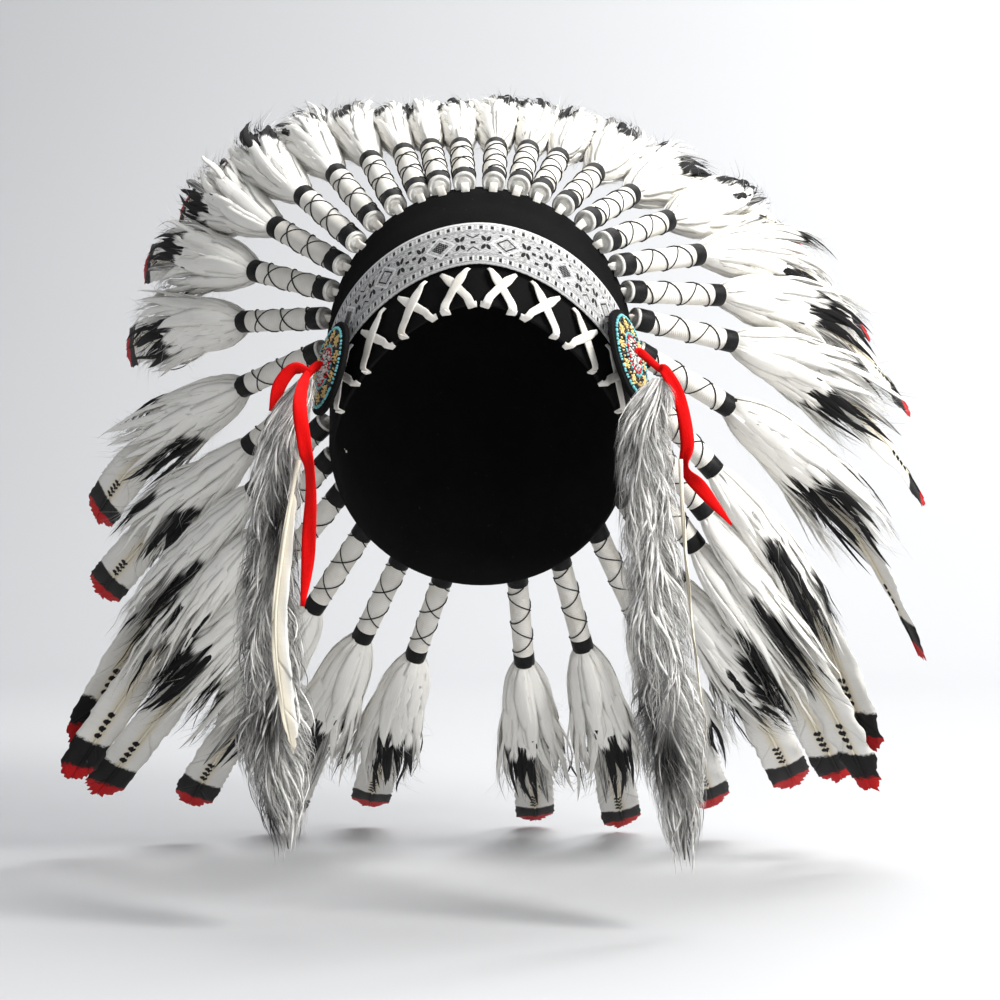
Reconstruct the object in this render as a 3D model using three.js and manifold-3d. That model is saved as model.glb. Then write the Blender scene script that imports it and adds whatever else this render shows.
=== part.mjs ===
// A feathered headdress in the posture in which it is worn, in millimetres, +Z up.
// The wearer faces -Y, so +X is the wearer's left. The origin is the middle of the head opening.
// A felt cap carries a brow band with a woven trim and laced crosses, two beaded rosettes with
// fur drops, quills and red ties, and a ring of wrapped feathers that runs from brow to nape.
import * as THREE from "three";
import { mergeVertices } from "three/addons/utils/BufferGeometryUtils.js";
import Module from "manifold-3d";

const wasm = await Module();
wasm.setup();

// Head opening and cap
const rimHalfLength = 118.5; // brow to nape, half, in the plane of the rim
const rimHalfWidth = 90; // half the width over the ears
const capDepth = 149; // from the plane of the rim to the crown
const rimTilt = 44; // degrees that the rim's front is raised
const feltWall = 2.5;
const pieceGap = 0.4; // between pieces that lie on each other

// Brow band, trim and laces
const bandWall = 2.5;
const bandEndTurn = 98; // degrees round the cap at which the band ends
const trimWall = 1;
const trimLow = 20; // rise of the trim's lower edge over the rim
const trimWidth = 24;
const trimEndTurn = 80;
const bandBehindRing = 7.5; // the band's top edge stays this far in front of the feathers' seats
const laceWidth = 5;
const laceWall = 1.4;
const laceLift = 0.35; // extra height of a lace, which keeps it clear of the band's edges
const laceTop = 0.8; // a lace's corner stays this far below the trim
const laceHalfSpan = 5.2; // degrees round the cap from a cross's middle to its ends
const laceTurns = [10.5, 27.5, 44.5, 61.5]; // degrees from the middle of the brow

// Rosettes
const rosetteRadius = 28;
const rosetteBackWall = 3;
const rosetteBeadRadius = 25;
const rosetteBeadDepth = 2.4;
const domeRise = 1.4; // the middle's height as a share of the beads' depth
const rosetteSides = 18;
const rosetteLean = 14; // degrees that a rosette's face looks up
const rosetteYaw = 20; // degrees that it looks forward of straight out
// Where each sits on the band: turn in degrees round the cap, rise over the rim.
const rosetteSeats = { left: { turn: 59, rise: 14 }, right: { turn: 59, rise: 8 } };

// Feathers
const feathersPerSide = 17;
const wrapRadius = 6.6;
const wrapLength = 76;
const wrapSides = 7;
const loopWidth = 4.6;
const loopWall = 2;
const loopInset = 1.2; // the loop's middle from the wrap's end
const plumeLength = 118;
const plumeHalfWidth = 21;
const plumeHalfDepth = 15;
const vaneLength = 250; // from the wrap's end to the feather's tip
const vaneHalfWidth = 14.5;
const vaneWall = 1.2;
const neighbourShare = 0.39; // share of the room between two feathers that each may fill

// Fur drops, quills and ties
const furLength = 274;
const furHalfWidth = 20;
const furSides = 7;
const furDeep = 0.66; // a drop's thickness as a share of its width
const quillLength = 168;
const quillHalfWidth = 6.5;
const quillWall = 1.4;
const tieLength = 175; // along the long tail
const tieHalfWidth = 4;
const tieWall = 1;
const tieKnot = 2.5; // height of the ribbon's knot over the rosette's face

const degrees = Math.PI / 180;
const forward = new THREE.Vector3(0, -Math.cos(rimTilt * degrees), Math.sin(rimTilt * degrees));
const upward = new THREE.Vector3(0, Math.sin(rimTilt * degrees), Math.cos(rimTilt * degrees));
const sideways = new THREE.Vector3(1, 0, 0);
const down = new THREE.Vector3(0, 0, -1);
const back = new THREE.Vector3(0, 1, 0);

const paint = {
  felt: new THREE.MeshStandardMaterial({ color: 0x141416, roughness: 0.95 }),
  trim: new THREE.MeshStandardMaterial({ color: 0xc9c8c8, roughness: 0.8 }),
  leather: new THREE.MeshStandardMaterial({ color: 0xecebe6, roughness: 0.6 }),
  beads: new THREE.MeshStandardMaterial({ color: 0x5fb6bd, roughness: 0.35 }),
  feather: new THREE.MeshStandardMaterial({ color: 0xf0efeb, roughness: 0.75 }),
  fur: new THREE.MeshStandardMaterial({ color: 0x8c8b8a, roughness: 0.9 }),
  quill: new THREE.MeshStandardMaterial({ color: 0xe9e6da, roughness: 0.6 }),
  tie: new THREE.MeshStandardMaterial({ color: 0xc8040c, roughness: 0.6 }),
};

// The cap's cross sections, from the rim to the crown. rise is a share of capDepth, middle and
// half are shares of rimHalfLength, width is a share of rimHalfWidth, and round is the power of
// the front half's outline, where 2 is an ellipse and less is more pointed.
const capSections = [
  { rise: 0, middle: 0, half: 1, width: 1, round: 1.6 },
  { rise: 0.134, middle: 0.101, half: 0.987, width: 1.0, round: 1.75 },
  { rise: 0.295, middle: 0.207, half: 0.958, width: 1.0, round: 1.9 },
  { rise: 0.47, middle: 0.266, half: 0.9, width: 0.97, round: 2 },
  { rise: 0.658, middle: 0.283, half: 0.764, width: 0.85, round: 2 },
  { rise: 0.82, middle: 0.275, half: 0.585, width: 0.66, round: 2 },
  { rise: 0.94, middle: 0.27, half: 0.35, width: 0.4, round: 2 },
];
const crownMiddle = 0.27;
const capTurns = 28;

// The feathers' stations from the middle of the brow (at 0) to the nape (at 1). turn is degrees
// round the cap and rise a share of capDepth. clock is the way that a wrap points seen from the
// front, in degrees from straight up, and sweep its angle off straight back. droop and pull say
// how far the plume and the long feather bend down and back on their way to the tip.
const stations = {
  left: [
    { at: 0, turn: 5, rise: 0.5, clock: 2, sweep: 25, droop: 0.3, pull: 0.6 },
    { at: 0.125, turn: 22, rise: 0.495, clock: 22, sweep: 27, droop: 0.1, pull: 1.8 },
    { at: 0.25, turn: 40, rise: 0.475, clock: 51, sweep: 32, droop: 0.2, pull: 1 },
    { at: 0.375, turn: 58, rise: 0.445, clock: 77, sweep: 47, droop: 0.74, pull: 0.75 },
    { at: 0.5, turn: 77, rise: 0.4, clock: 100, sweep: 59, droop: 0.9, pull: 0.9 },
    { at: 0.5625, turn: 87, rise: 0.365, clock: 119, sweep: 66, droop: 1.1, pull: 0.55 },
    { at: 0.625, turn: 95, rise: 0.3, clock: 137, sweep: 74, droop: 0.88, pull: 0.8 },
    { at: 0.6875, turn: 102.5, rise: 0.225, clock: 141, sweep: 75, droop: 0.4, pull: 0.62 },
    { at: 0.8125, turn: 118, rise: 0.11, clock: 146, sweep: 72, droop: 0.1, pull: 1.4 },
    { at: 1, turn: 167, rise: 0.055, clock: 175, sweep: 58, droop: 0.2, pull: 2.1 },
  ],
  right: [
    { at: 0, turn: 5, rise: 0.5, clock: 6, sweep: 25, droop: 0.5, pull: 0.3 },
    { at: 0.125, turn: 22, rise: 0.495, clock: 19, sweep: 29, droop: 0.32, pull: 1.7 },
    { at: 0.25, turn: 40, rise: 0.475, clock: 36, sweep: 38, droop: 0.34, pull: 1.6 },
    { at: 0.375, turn: 58, rise: 0.445, clock: 57, sweep: 46, droop: 0.24, pull: 1.9 },
    { at: 0.5, turn: 77, rise: 0.4, clock: 88, sweep: 48, droop: 0.1, pull: 1.9 },
    { at: 0.5625, turn: 87, rise: 0.365, clock: 110, sweep: 51, droop: 0.5, pull: 1.1 },
    { at: 0.625, turn: 95, rise: 0.3, clock: 126, sweep: 56, droop: 0.1, pull: 0.85 },
    { at: 0.6875, turn: 102.5, rise: 0.225, clock: 131, sweep: 60, droop: 0.6, pull: 0.15 },
    { at: 0.8125, turn: 118, rise: 0.11, clock: 139, sweep: 66, droop: 0, pull: 0.3 },
    { at: 1, turn: 167, rise: 0.055, clock: 160, sweep: 58, droop: 0.2, pull: 2.1 },
  ],
};

// A plume's outline: along is a share of plumeLength, wide and deep are shares of its half sizes.
const plumeOutline = [
  { along: 0.03, wide: 0.27, deep: 0.38 },
  { along: 0.3, wide: 0.8, deep: 0.95 },
  { along: 0.62, wide: 1, deep: 1 },
  { along: 0.9, wide: 0.62, deep: 0.6 },
];
// The pointed locks at its end: side and lift are shares of the half sizes, reach of plumeLength.
const plumeLocks = [
  { side: -0.85, lift: -0.3, reach: 1.06 },
  { side: -0.1, lift: 0.8, reach: 1.16 },
  { side: 0.8, lift: -0.5, reach: 1.12 },
];
// The long feather's outline: along is a share of vaneLength, wide of vaneHalfWidth.
const vaneOutline = [
  { along: 0.2, wide: 0.35 },
  { along: 0.55, wide: 0.95 },
  { along: 0.8, wide: 1 },
  { along: 0.98, wide: 0.75 },
];

// The fur drops. Each row is {down, out, front} from the rosette's face in shares of furLength,
// and wide is a share of furHalfWidth.
const furDrops = {
  left: [
    { down: 0.055, out: 0.046, front: 0.036, wide: 0.14 },
    { down: 0.1, out: 0.036, front: 0.085, wide: 0.5 },
    { down: 0.17, out: 0.024, front: 0.12, wide: 0.95 },
    { down: 0.5, out: 0.04, front: 0.125, wide: 0.95 },
    { down: 0.8, out: 0.065, front: 0.12, wide: 1 },
    { down: 1.05, out: 0.093, front: 0.12, wide: 0.35 },
  ],
  right: [
    { down: 0.027, out: 0.028, front: 0.037, wide: 0.14 },
    { down: 0.085, out: 0.05, front: 0.085, wide: 0.5 },
    { down: 0.17, out: 0.085, front: 0.11, wide: 0.9 },
    { down: 0.5, out: 0.1, front: 0.12, wide: 0.95 },
    { down: 0.8, out: 0.085, front: 0.12, wide: 1 },
    { down: 1.0, out: 0.06, front: 0.12, wide: 0.35 },
  ],
};
const furLocks = { rows: 4, perRow: 3, lift: 0.3 }; // lift is a share of the drop's half width

// The quills. down is a share of furLength from the rosette's face. side, from the drop's middle,
// and sway, the bend along it, are shares of quillLength.
const quillRows = [
  { along: 0, wide: 0.3, sway: 0 },
  { along: 0.3, wide: 0.8, sway: 0.03 },
  { along: 0.65, wide: 1, sway: 0.035 },
  { along: 0.95, wide: 0.7, sway: 0.01 },
  { along: 1, wide: 0.15, sway: 0 },
];
const quillPlaces = {
  left: { down: 0.225, side: 0, facing: new THREE.Vector3(1, 0, 0) },
  right: { down: 0.2, side: -0.03, facing: new THREE.Vector3(0, -1, 0) },
};

// The red ties. Each point is {out, front, down} from the rosette's face in shares of tieLength,
// wide is a share of tieHalfWidth and twist turns the ribbon about its own length, in degrees.
const tieTails = {
  left: {
    long: [
      { out: 0.071, front: 0.057, down: 0.05, wide: 0.5, twist: 0 },
      { out: 0.09, front: 0.075, down: 0.06, wide: 0.8, twist: 0 },
      { out: 0.138, front: 0.075, down: 0.15, wide: 0.9, twist: 0 },
      { out: 0.162, front: 0.09, down: 0.29, wide: 1, twist: 15 },
      { out: 0.155, front: 0.1, down: 0.38, wide: 1, twist: 60 },
      { out: 0.21, front: 0.105, down: 0.45, wide: 1, twist: 10 },
      { out: 0.305, front: 0.11, down: 0.565, wide: 0.15, twist: 0 },
    ],
  },
  right: {
    long: [
      { out: 0.045, front: 0.057, down: 0.03, wide: 0.6, twist: 0 },
      { out: 0.05, front: 0.16, down: 0.07, wide: 0.8, twist: 0 },
      { out: 0.05, front: 0.27, down: 0.15, wide: 1, twist: 0 },
      { out: 0.03, front: 0.29, down: 0.28, wide: 1, twist: 10 },
      { out: 0.015, front: 0.29, down: 0.36, wide: 0.9, twist: 40 },
      { out: 0.02, front: 0.29, down: 0.6, wide: 1, twist: 10 },
      { out: 0.04, front: 0.28, down: 0.78, wide: 0.3, twist: 0 },
    ],
    short: [
      { out: 0.035, front: 0.044, down: 0.022, wide: 0.4, twist: 0 },
      { out: 0.09, front: 0.02, down: 0.006, wide: 0.8, twist: 0 },
      { out: 0.14, front: 0.01, down: 0.062, wide: 1, twist: 0 },
      { out: 0.16, front: 0.01, down: 0.15, wide: 0.7, twist: 0 },
    ],
  },
};

// A value read from a table's column by a smooth curve through its rows.
function fromTable(rows, key, at, column) {
  const last = rows.length - 1;
  let i = 0;
  while (i < last - 1 && at > rows[i + 1][key]) i++;
  const slope = (k) => {
    const a = rows[Math.max(k - 1, 0)];
    const b = rows[Math.min(k + 1, last)];
    return (b[column] - a[column]) / (b[key] - a[key]);
  };
  const span = rows[i + 1][key] - rows[i][key];
  const t = Math.min(Math.max((at - rows[i][key]) / span, 0), 1);
  const t2 = t * t;
  const t3 = t2 * t;
  return (
    (2 * t3 - 3 * t2 + 1) * rows[i][column] +
    (t3 - 2 * t2 + t) * span * slope(i) +
    (3 * t2 - 2 * t3) * rows[i + 1][column] +
    (t3 - t2) * span * slope(i + 1)
  );
}

function sideSign(side) {
  return side === "left" ? 1 : -1;
}

// Solids

// A closed body over a stack of rings with equal point counts, with a fan at each end.
function loft(rings) {
  const count = rings[0].length;
  const points = rings.flat();
  const faces = [];
  for (let r = 0; r < rings.length - 1; r++) {
    for (let k = 0; k < count; k++) {
      const a = r * count + k;
      const b = r * count + ((k + 1) % count);
      const straight = points[a].distanceTo(points[b + count]) <= points[b].distanceTo(points[a + count]);
      if (straight) faces.push(a, b, b + count, a, b + count, a + count);
      else faces.push(a, b, a + count, b, b + count, a + count);
    }
  }
  for (let k = 1; k < count - 1; k++) {
    faces.push(0, k + 1, k);
    const top = (rings.length - 1) * count;
    faces.push(top, top + k, top + k + 1);
  }
  return bodyFrom(points, faces);
}

// A manifold solid from points and faces, turned right side out if need be.
function bodyFrom(points, faces) {
  const geometry = new THREE.BufferGeometry();
  const numbers = points.flatMap((p) => [p.x, p.y, p.z]);
  geometry.setAttribute("position", new THREE.Float32BufferAttribute(numbers, 3));
  geometry.setIndex(faces);
  return toSolid(geometry);
}

function toSolid(geometry) {
  geometry.deleteAttribute("normal");
  geometry.deleteAttribute("uv");
  const merged = mergeVertices(geometry, 1e-3);
  const faces = new Uint32Array(merged.index.array);
  if (signedVolume(merged.attributes.position, faces) < 0) {
    for (let i = 0; i < faces.length; i += 3) [faces[i + 1], faces[i + 2]] = [faces[i + 2], faces[i + 1]];
  }
  return new wasm.Manifold(
    new wasm.Mesh({ numProp: 3, vertProperties: merged.attributes.position.array, triVerts: faces }),
  );
}

function signedVolume(position, faces) {
  const corner = [new THREE.Vector3(), new THREE.Vector3(), new THREE.Vector3()];
  let total = 0;
  for (let i = 0; i < faces.length; i += 3) {
    corner.forEach((c, k) => c.fromBufferAttribute(position, faces[i + k]));
    total += corner[0].dot(corner[1].clone().cross(corner[2]));
  }
  return total;
}

function joined(solids) {
  return solids.reduce((whole, next) => whole.add(next));
}

function meshOf(solid, name, material) {
  const made = solid.getMesh();
  const position = new Float32Array(made.numVert * 3);
  for (let i = 0; i < made.numVert; i++) {
    position.set(made.vertProperties.subarray(i * made.numProp, i * made.numProp + 3), i * 3);
  }
  const geometry = new THREE.BufferGeometry();
  geometry.setAttribute("position", new THREE.BufferAttribute(position, 3));
  geometry.setIndex(new THREE.BufferAttribute(made.triVerts, 1));
  geometry.computeVertexNormals();
  const mesh = new THREE.Mesh(geometry, material);
  mesh.name = name;
  return mesh;
}

// A flat strip along a line of points, each with the direction of its width.
function strip(points, widths, halfWidths, wall) {
  const rings = points.map((point, i) => {
    const ahead = points[Math.min(i + 1, points.length - 1)]
      .clone()
      .sub(points[Math.max(i - 1, 0)])
      .normalize();
    const across = widths[i].clone().addScaledVector(ahead, -widths[i].dot(ahead)).normalize();
    const thick = ahead.clone().cross(across).multiplyScalar(wall / 2);
    across.multiplyScalar(halfWidths[i]);
    return [
      point.clone().add(across).add(thick),
      point.clone().sub(across).add(thick),
      point.clone().sub(across).sub(thick),
      point.clone().add(across).sub(thick),
    ];
  });
  return loft(rings);
}

// A round or oval ring of points about a centre.
function ovalRing(centre, across, lift, halfAcross, halfLift, sides) {
  return Array.from({ length: sides }, (_, k) => {
    const angle = (2 * Math.PI * (k + 0.5)) / sides;
    return centre
      .clone()
      .addScaledVector(across, halfAcross * Math.cos(angle))
      .addScaledVector(lift, halfLift * Math.sin(angle));
  });
}

// Cap

function capPoint(turn, rise) {
  const share = rise / capDepth;
  const section = (column) => fromTable(capSections, "rise", share, column);
  const c = Math.cos(turn * degrees);
  const s = Math.sin(turn * degrees);
  const power = c > 0 ? 2 / section("round") : 1;
  const along = section("middle") + section("half") * Math.sign(c) * Math.abs(c) ** power;
  const across = section("width") * Math.sign(s) * Math.abs(s) ** power;
  return new THREE.Vector3()
    .addScaledVector(forward, along * rimHalfLength)
    .addScaledVector(sideways, across * rimHalfWidth)
    .addScaledVector(upward, rise);
}

function capNormal(turn, rise) {
  const step = 0.5;
  const round = capPoint(turn + step, rise).sub(capPoint(turn - step, rise));
  const climb = capPoint(turn, rise + step).sub(capPoint(turn, rise));
  return round.cross(climb).normalize();
}

const trimTop = trimLow + trimWidth;
const capRises = [0, trimLow, trimTop, ...capSections.slice(3).map((row) => row.rise * capDepth)];

// The cap's grid of points, lifted off its outer face. Pieces that lie on it use the same grid.
function capGridPoint(turnIndex, rise, lift) {
  const turn = (360 * turnIndex) / capTurns;
  const upper = Math.max(capRises.findIndex((r) => r >= rise - 1e-6), 1);
  const [low, high] = [capRises[upper - 1], capRises[upper]];
  const t = (rise - low) / (high - low);
  return capPoint(turn, low)
    .addScaledVector(capNormal(turn, low), lift)
    .lerp(capPoint(turn, high).addScaledVector(capNormal(turn, high), lift), t);
}

function capSolid() {
  const points = [];
  const faces = [];
  for (const lift of [0, -feltWall]) {
    for (const rise of capRises) {
      for (let k = 0; k < capTurns; k++) points.push(capGridPoint(k, rise, lift));
    }
    points.push(
      new THREE.Vector3()
        .addScaledVector(forward, crownMiddle * rimHalfLength)
        .addScaledVector(upward, capDepth + lift),
    );
  }
  const skin = capRises.length * capTurns + 1;
  for (let layer = 0; layer < 2; layer++) {
    const turnFace = (a, b, c) => (layer ? faces.push(a, c, b) : faces.push(a, b, c));
    for (let k = 0; k < capTurns; k++) {
      const next = (k + 1) % capTurns;
      for (let r = 0; r < capRises.length - 1; r++) {
        const a = layer * skin + r * capTurns + k;
        const b = layer * skin + r * capTurns + next;
        turnFace(a, b, b + capTurns);
        turnFace(a, b + capTurns, a + capTurns);
      }
      const top = layer * skin + (capRises.length - 1) * capTurns;
      turnFace(top + k, top + next, layer * skin + skin - 1);
    }
  }
  for (let k = 0; k < capTurns; k++) {
    const next = (k + 1) % capTurns;
    faces.push(k, skin + k, skin + next, k, skin + next, next);
  }
  return bodyFrom(points, faces);
}

// Brow band and trim: bent plates on the cap's grid

function ringRise(turn) {
  return capDepth * fromTable(stations.left, "turn", Math.abs(turn), "rise");
}

// rows gives the rises at a turn, from the lower edge to the upper one.
function bentPlate(endTurn, rows, lift, wall) {
  const ends = Math.floor((endTurn * capTurns) / 360);
  const rings = [];
  for (let k = -ends; k <= ends; k++) {
    const turn = (360 * k) / capTurns;
    const rises = rows(turn);
    rings.push([
      ...rises.map((rise) => capGridPoint(k, rise, lift)),
      ...[...rises].reverse().map((rise) => capGridPoint(k, rise, lift + wall)),
    ]);
  }
  return loft(rings);
}

function browBand() {
  const rows = (turn) => [0, trimLow, trimTop, Math.max(ringRise(turn) - bandBehindRing, trimTop + 1)];
  return bentPlate(bandEndTurn, rows, pieceGap, bandWall);
}

function trimRibbon() {
  return bentPlate(trimEndTurn, () => [trimLow, trimTop], 2 * pieceGap + bandWall, trimWall);
}

// A point on the band's face at any turn, on the straight facets between the grid's points.
function bandFace(turn, rise, lift) {
  const place = (turn * capTurns) / 360;
  const k = Math.floor(place);
  return capGridPoint(k, rise, lift).lerp(capGridPoint(k + 1, rise, lift), place - k);
}

// Two flat laces that cross on the band below the trim.
function laceCross(turn) {
  const steps = 2;
  const low = laceWidth / 2;
  const high = trimLow - laceWidth / 2 - laceTop;
  const lift = 2 * pieceGap + bandWall + laceLift + laceWall / 2;
  const laces = [-1, 1].map((way) => {
    const line = Array.from({ length: steps + 1 }, (_, i) => {
      const t = i / steps;
      return bandFace(turn + way * laceHalfSpan * (2 * t - 1), low + (high - low) * t, lift);
    });
    const widths = line.map((point, i) => {
      const ahead = line[Math.min(i + 1, steps)].clone().sub(line[Math.max(i - 1, 0)]);
      return ahead.cross(capNormal(turn, (low + high) / 2)).normalize();
    });
    return strip(line, widths, line.map(() => laceWidth / 2), laceWall);
  });
  return joined(laces);
}

// Feathers

const capBody = meshOf(capSolid(), "cap", paint.felt);

// The place where a line from outside meets the cap's felt, and the way that the felt faces there.
function seatOn(mesh, point, normal) {
  const reach = 20;
  const ray = new THREE.Raycaster(point.clone().addScaledVector(normal, reach), normal.clone().negate());
  const [hit] = ray.intersectObject(mesh);
  return { seat: hit.point, normal: hit.face.normal.clone() };
}

// A feather's middle line: straight through its wrap, then bent down by its weight.
function featherLine(side, index) {
  const at = index / (feathersPerSide - 1);
  const station = (column) => fromTable(stations[side], "at", at, column);
  const sign = sideSign(side);
  const turn = sign * station("turn");
  const rise = capDepth * station("rise");
  const clock = station("clock") * degrees;
  const sweep = station("sweep") * degrees;
  const ahead = new THREE.Vector3(
    sign * Math.sin(sweep) * Math.sin(clock),
    Math.cos(sweep),
    Math.sin(sweep) * Math.cos(clock),
  );
  const { seat, normal } = seatOn(capBody, capPoint(turn, rise), capNormal(turn, rise));
  const lean = Math.sqrt(Math.max(0, 1 - ahead.dot(normal) ** 2));
  const base = seat.clone().addScaledVector(normal, wrapRadius * lean + 4 * pieceGap);
  const ringWay = capPoint(turn + 1, rise).sub(capPoint(turn - 1, rise)).normalize();
  const steps = 10;
  const bend = down.clone().multiplyScalar(station("droop")).addScaledVector(back, station("pull"));
  const wayAt = (share) => ahead.clone().addScaledVector(bend, share).normalize();
  const points = [base.clone().addScaledVector(ahead, wrapLength)];
  const ways = [wayAt(0)];
  for (let i = 1; i <= steps; i++) {
    points.push(points[i - 1].clone().addScaledVector(wayAt((i - 0.5) / steps), vaneLength / steps));
    ways.push(wayAt(i / steps));
  }
  return { side, index, seat, normal, base, ahead, ringWay, points, ways };
}

const featherLines = ["left", "right"].flatMap((side) =>
  Array.from({ length: feathersPerSide }, (_, index) => featherLine(side, index)),
);

// The middle line's point and directions, and the half width free beside it, at a distance from
// the wrap's end.
function onFeather(line, distance) {
  const last = line.points.length - 1;
  const place = Math.min(Math.max((distance / vaneLength) * last, 0), last);
  const i = Math.min(Math.floor(place), last - 1);
  const point = line.points[i].clone().lerp(line.points[i + 1], place - i);
  if (distance < 0) point.addScaledVector(line.ahead, distance);
  const way = line.ways[i].clone().lerp(line.ways[i + 1], place - i).normalize();
  const across = line.ringWay.clone().addScaledVector(way, -line.ringWay.dot(way)).normalize();
  const lift = across.clone().cross(way);
  const nearest = Math.min(
    ...featherLines
      .filter((other) => other !== line)
      .flatMap((other) => other.points.map((p) => p.distanceTo(point))),
  );
  return { point, way, across, lift, room: nearest * neighbourShare };
}

// The loop of lace that ties a wrap's end to the felt.
function laceLoop(line) {
  const along = line.ahead.clone().addScaledVector(line.normal, -line.ahead.dot(line.normal)).normalize();
  const inset = along.multiplyScalar(loopInset);
  const top = line.base.clone().addScaledVector(line.normal, loopWall).add(inset);
  const foot = line.seat.clone().addScaledVector(line.normal, pieceGap).add(inset);
  return strip([top, foot], [line.ringWay, line.ringWay], [loopWidth / 2, loopWidth / 2], loopWall);
}

function plumeLock(line, lock) {
  const sides = 3;
  const rings = [0.55, lock.reach].map((along, isTip) => {
    const place = onFeather(line, along * plumeLength);
    const spread = isTip ? 1 : 0.4;
    const size = plumeHalfDepth * (isTip ? 0.05 : 0.5);
    const centre = place.point
      .clone()
      .addScaledVector(place.across, Math.min(plumeHalfWidth, place.room) * lock.side * spread)
      .addScaledVector(place.lift, plumeHalfDepth * lock.lift * spread);
    return ovalRing(centre, place.across, place.lift, Math.min(size, place.room / 3), size, sides);
  });
  return loft(rings);
}

function featherSolid(line) {
  const start = onFeather(line, 0);
  const wrapEnd = line.points[0];
  const wrap = [line.base, wrapEnd].map((centre) =>
    ovalRing(centre, start.across, start.lift, wrapRadius, wrapRadius, wrapSides),
  );
  const plume = plumeOutline.map((row) => {
    const place = onFeather(line, row.along * plumeLength);
    const wide = Math.min(plumeHalfWidth, place.room) * row.wide;
    return ovalRing(place.point, place.across, place.lift, wide, plumeHalfDepth * row.deep, wrapSides);
  });
  const blade = vaneOutline.map((row) => ({ row, place: onFeather(line, row.along * vaneLength) }));
  const vane = strip(
    blade.map(({ place }) => place.point),
    blade.map(({ place }) => place.across),
    blade.map(({ row, place }) => Math.min(vaneHalfWidth, place.room) * row.wide),
    vaneWall,
  );
  const locks = plumeLocks.map((lock) => plumeLock(line, lock));
  return joined([loft([...wrap, ...plume]), laceLoop(line), vane, ...locks]);
}

// Rosettes

function rosettePlace(side) {
  const sign = sideSign(side);
  const facing = new THREE.Vector3(
    sign * Math.cos(rosetteYaw * degrees) * Math.cos(rosetteLean * degrees),
    -Math.sin(rosetteYaw * degrees) * Math.cos(rosetteLean * degrees),
    Math.sin(rosetteLean * degrees),
  );
  const { turn, rise } = rosetteSeats[side];
  const anchor = bandFace(sign * turn, rise, pieceGap + bandWall);
  return { sign, facing, anchor };
}

// Points spread over every face of a mesh.
function facePoints(mesh, perEdge) {
  const { position } = mesh.geometry.attributes;
  const index = mesh.geometry.index.array;
  const found = [];
  for (let i = 0; i < index.length; i += 3) {
    const [a, b, c] = [0, 1, 2].map((k) => new THREE.Vector3().fromBufferAttribute(position, index[i + k]));
    for (let u = 0; u <= perEdge; u++) {
      for (let v = 0; v <= perEdge - u; v++) {
        found.push(a.clone().lerp(b, u / perEdge).addScaledVector(c.clone().sub(a), v / perEdge));
      }
    }
  }
  return found;
}

// The rosette's back lies flat on the furthest point of what is under it.
function rosetteCentre(side, under) {
  const { facing, anchor } = rosettePlace(side);
  let furthest = 0;
  for (const point of under.flatMap((mesh) => facePoints(mesh, 12))) {
    point.sub(anchor);
    const height = point.dot(facing);
    const beside = Math.sqrt(Math.max(0, point.lengthSq() - height * height));
    if (beside < rosetteRadius + pieceGap) furthest = Math.max(furthest, height);
  }
  return anchor.clone().addScaledVector(facing, furthest + pieceGap);
}

function rosetteSolid(centre, facing) {
  const profile = [
    [0, 0],
    [rosetteRadius, 0],
    [rosetteRadius, rosetteBackWall],
    [rosetteBeadRadius, rosetteBackWall],
    [rosetteBeadRadius, rosetteBackWall + rosetteBeadDepth / 2],
    [rosetteBeadRadius * 0.6, rosetteBackWall + rosetteBeadDepth],
    [0, rosetteBackWall + rosetteBeadDepth * domeRise],
  ].map(([x, y]) => new THREE.Vector2(x, y));
  const geometry = new THREE.LatheGeometry(profile, rosetteSides);
  geometry.applyQuaternion(new THREE.Quaternion().setFromUnitVectors(new THREE.Vector3(0, 1, 0), facing));
  geometry.translate(centre.x, centre.y, centre.z);
  return toSolid(geometry);
}

function rosetteFace(centre, facing) {
  return centre.clone().addScaledVector(facing, rosetteBackWall + rosetteBeadDepth * domeRise);
}

// A point given as {out, front, down} shares of a length from the rosette's face.
function besideFace(face, side, row, length) {
  return new THREE.Vector3(
    face.x + sideSign(side) * row.out * length,
    face.y - row.front * length,
    face.z - row.down * length,
  );
}

// Fur drops

// The drop's middle and half width at a height below the rosette's face, a share of furLength.
function furAt(face, side, share) {
  const row = (column) => fromTable(furDrops[side], "down", share, column);
  return {
    point: besideFace(face, side, { down: share, out: row("out"), front: row("front") }, furLength),
    half: row("wide") * furHalfWidth,
  };
}

// A thin backing thick with pile: an oval body with pointed locks that lie along it.
function furSolid(face, side) {
  const across = new THREE.Vector3(1, 0, 0);
  const through = new THREE.Vector3(0, 1, 0);
  const rows = furDrops[side];
  const body = loft(
    rows.map(({ down: share }) => {
      const { point, half } = furAt(face, side, share);
      return ovalRing(point, across, through, half * 0.85, half * 0.85 * furDeep, furSides);
    }),
  );
  const top = rows[1].down;
  const reach = (rows[rows.length - 1].down - top) / furLocks.rows;
  const locks = [];
  for (let row = 0; row < furLocks.rows; row++) {
    for (let k = 0; k < furLocks.perRow; k++) {
      const angle = ((k + (row % 2) * 0.5 + 0.25) / furLocks.perRow) * 2 * Math.PI;
      const away = new THREE.Vector3(Math.cos(angle), Math.sin(angle) * furDeep, 0);
      const from = furAt(face, side, top + reach * (row + 0.2));
      const to = furAt(face, side, top + reach * (row + 1.1));
      const root = from.point.clone().addScaledVector(away, from.half * 0.45);
      const stand = to.half * 0.85 + furHalfWidth * furLocks.lift * 0.5;
      const tip = to.point.clone().addScaledVector(away, stand);
      locks.push(
        loft([
          ovalRing(root, across, through, from.half * 0.4, from.half * 0.4, 3),
          ovalRing(tip, across, through, 0.8, 0.8, 3),
        ]),
      );
    }
  }
  return joined([body, ...locks]);
}

// Quills

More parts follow.
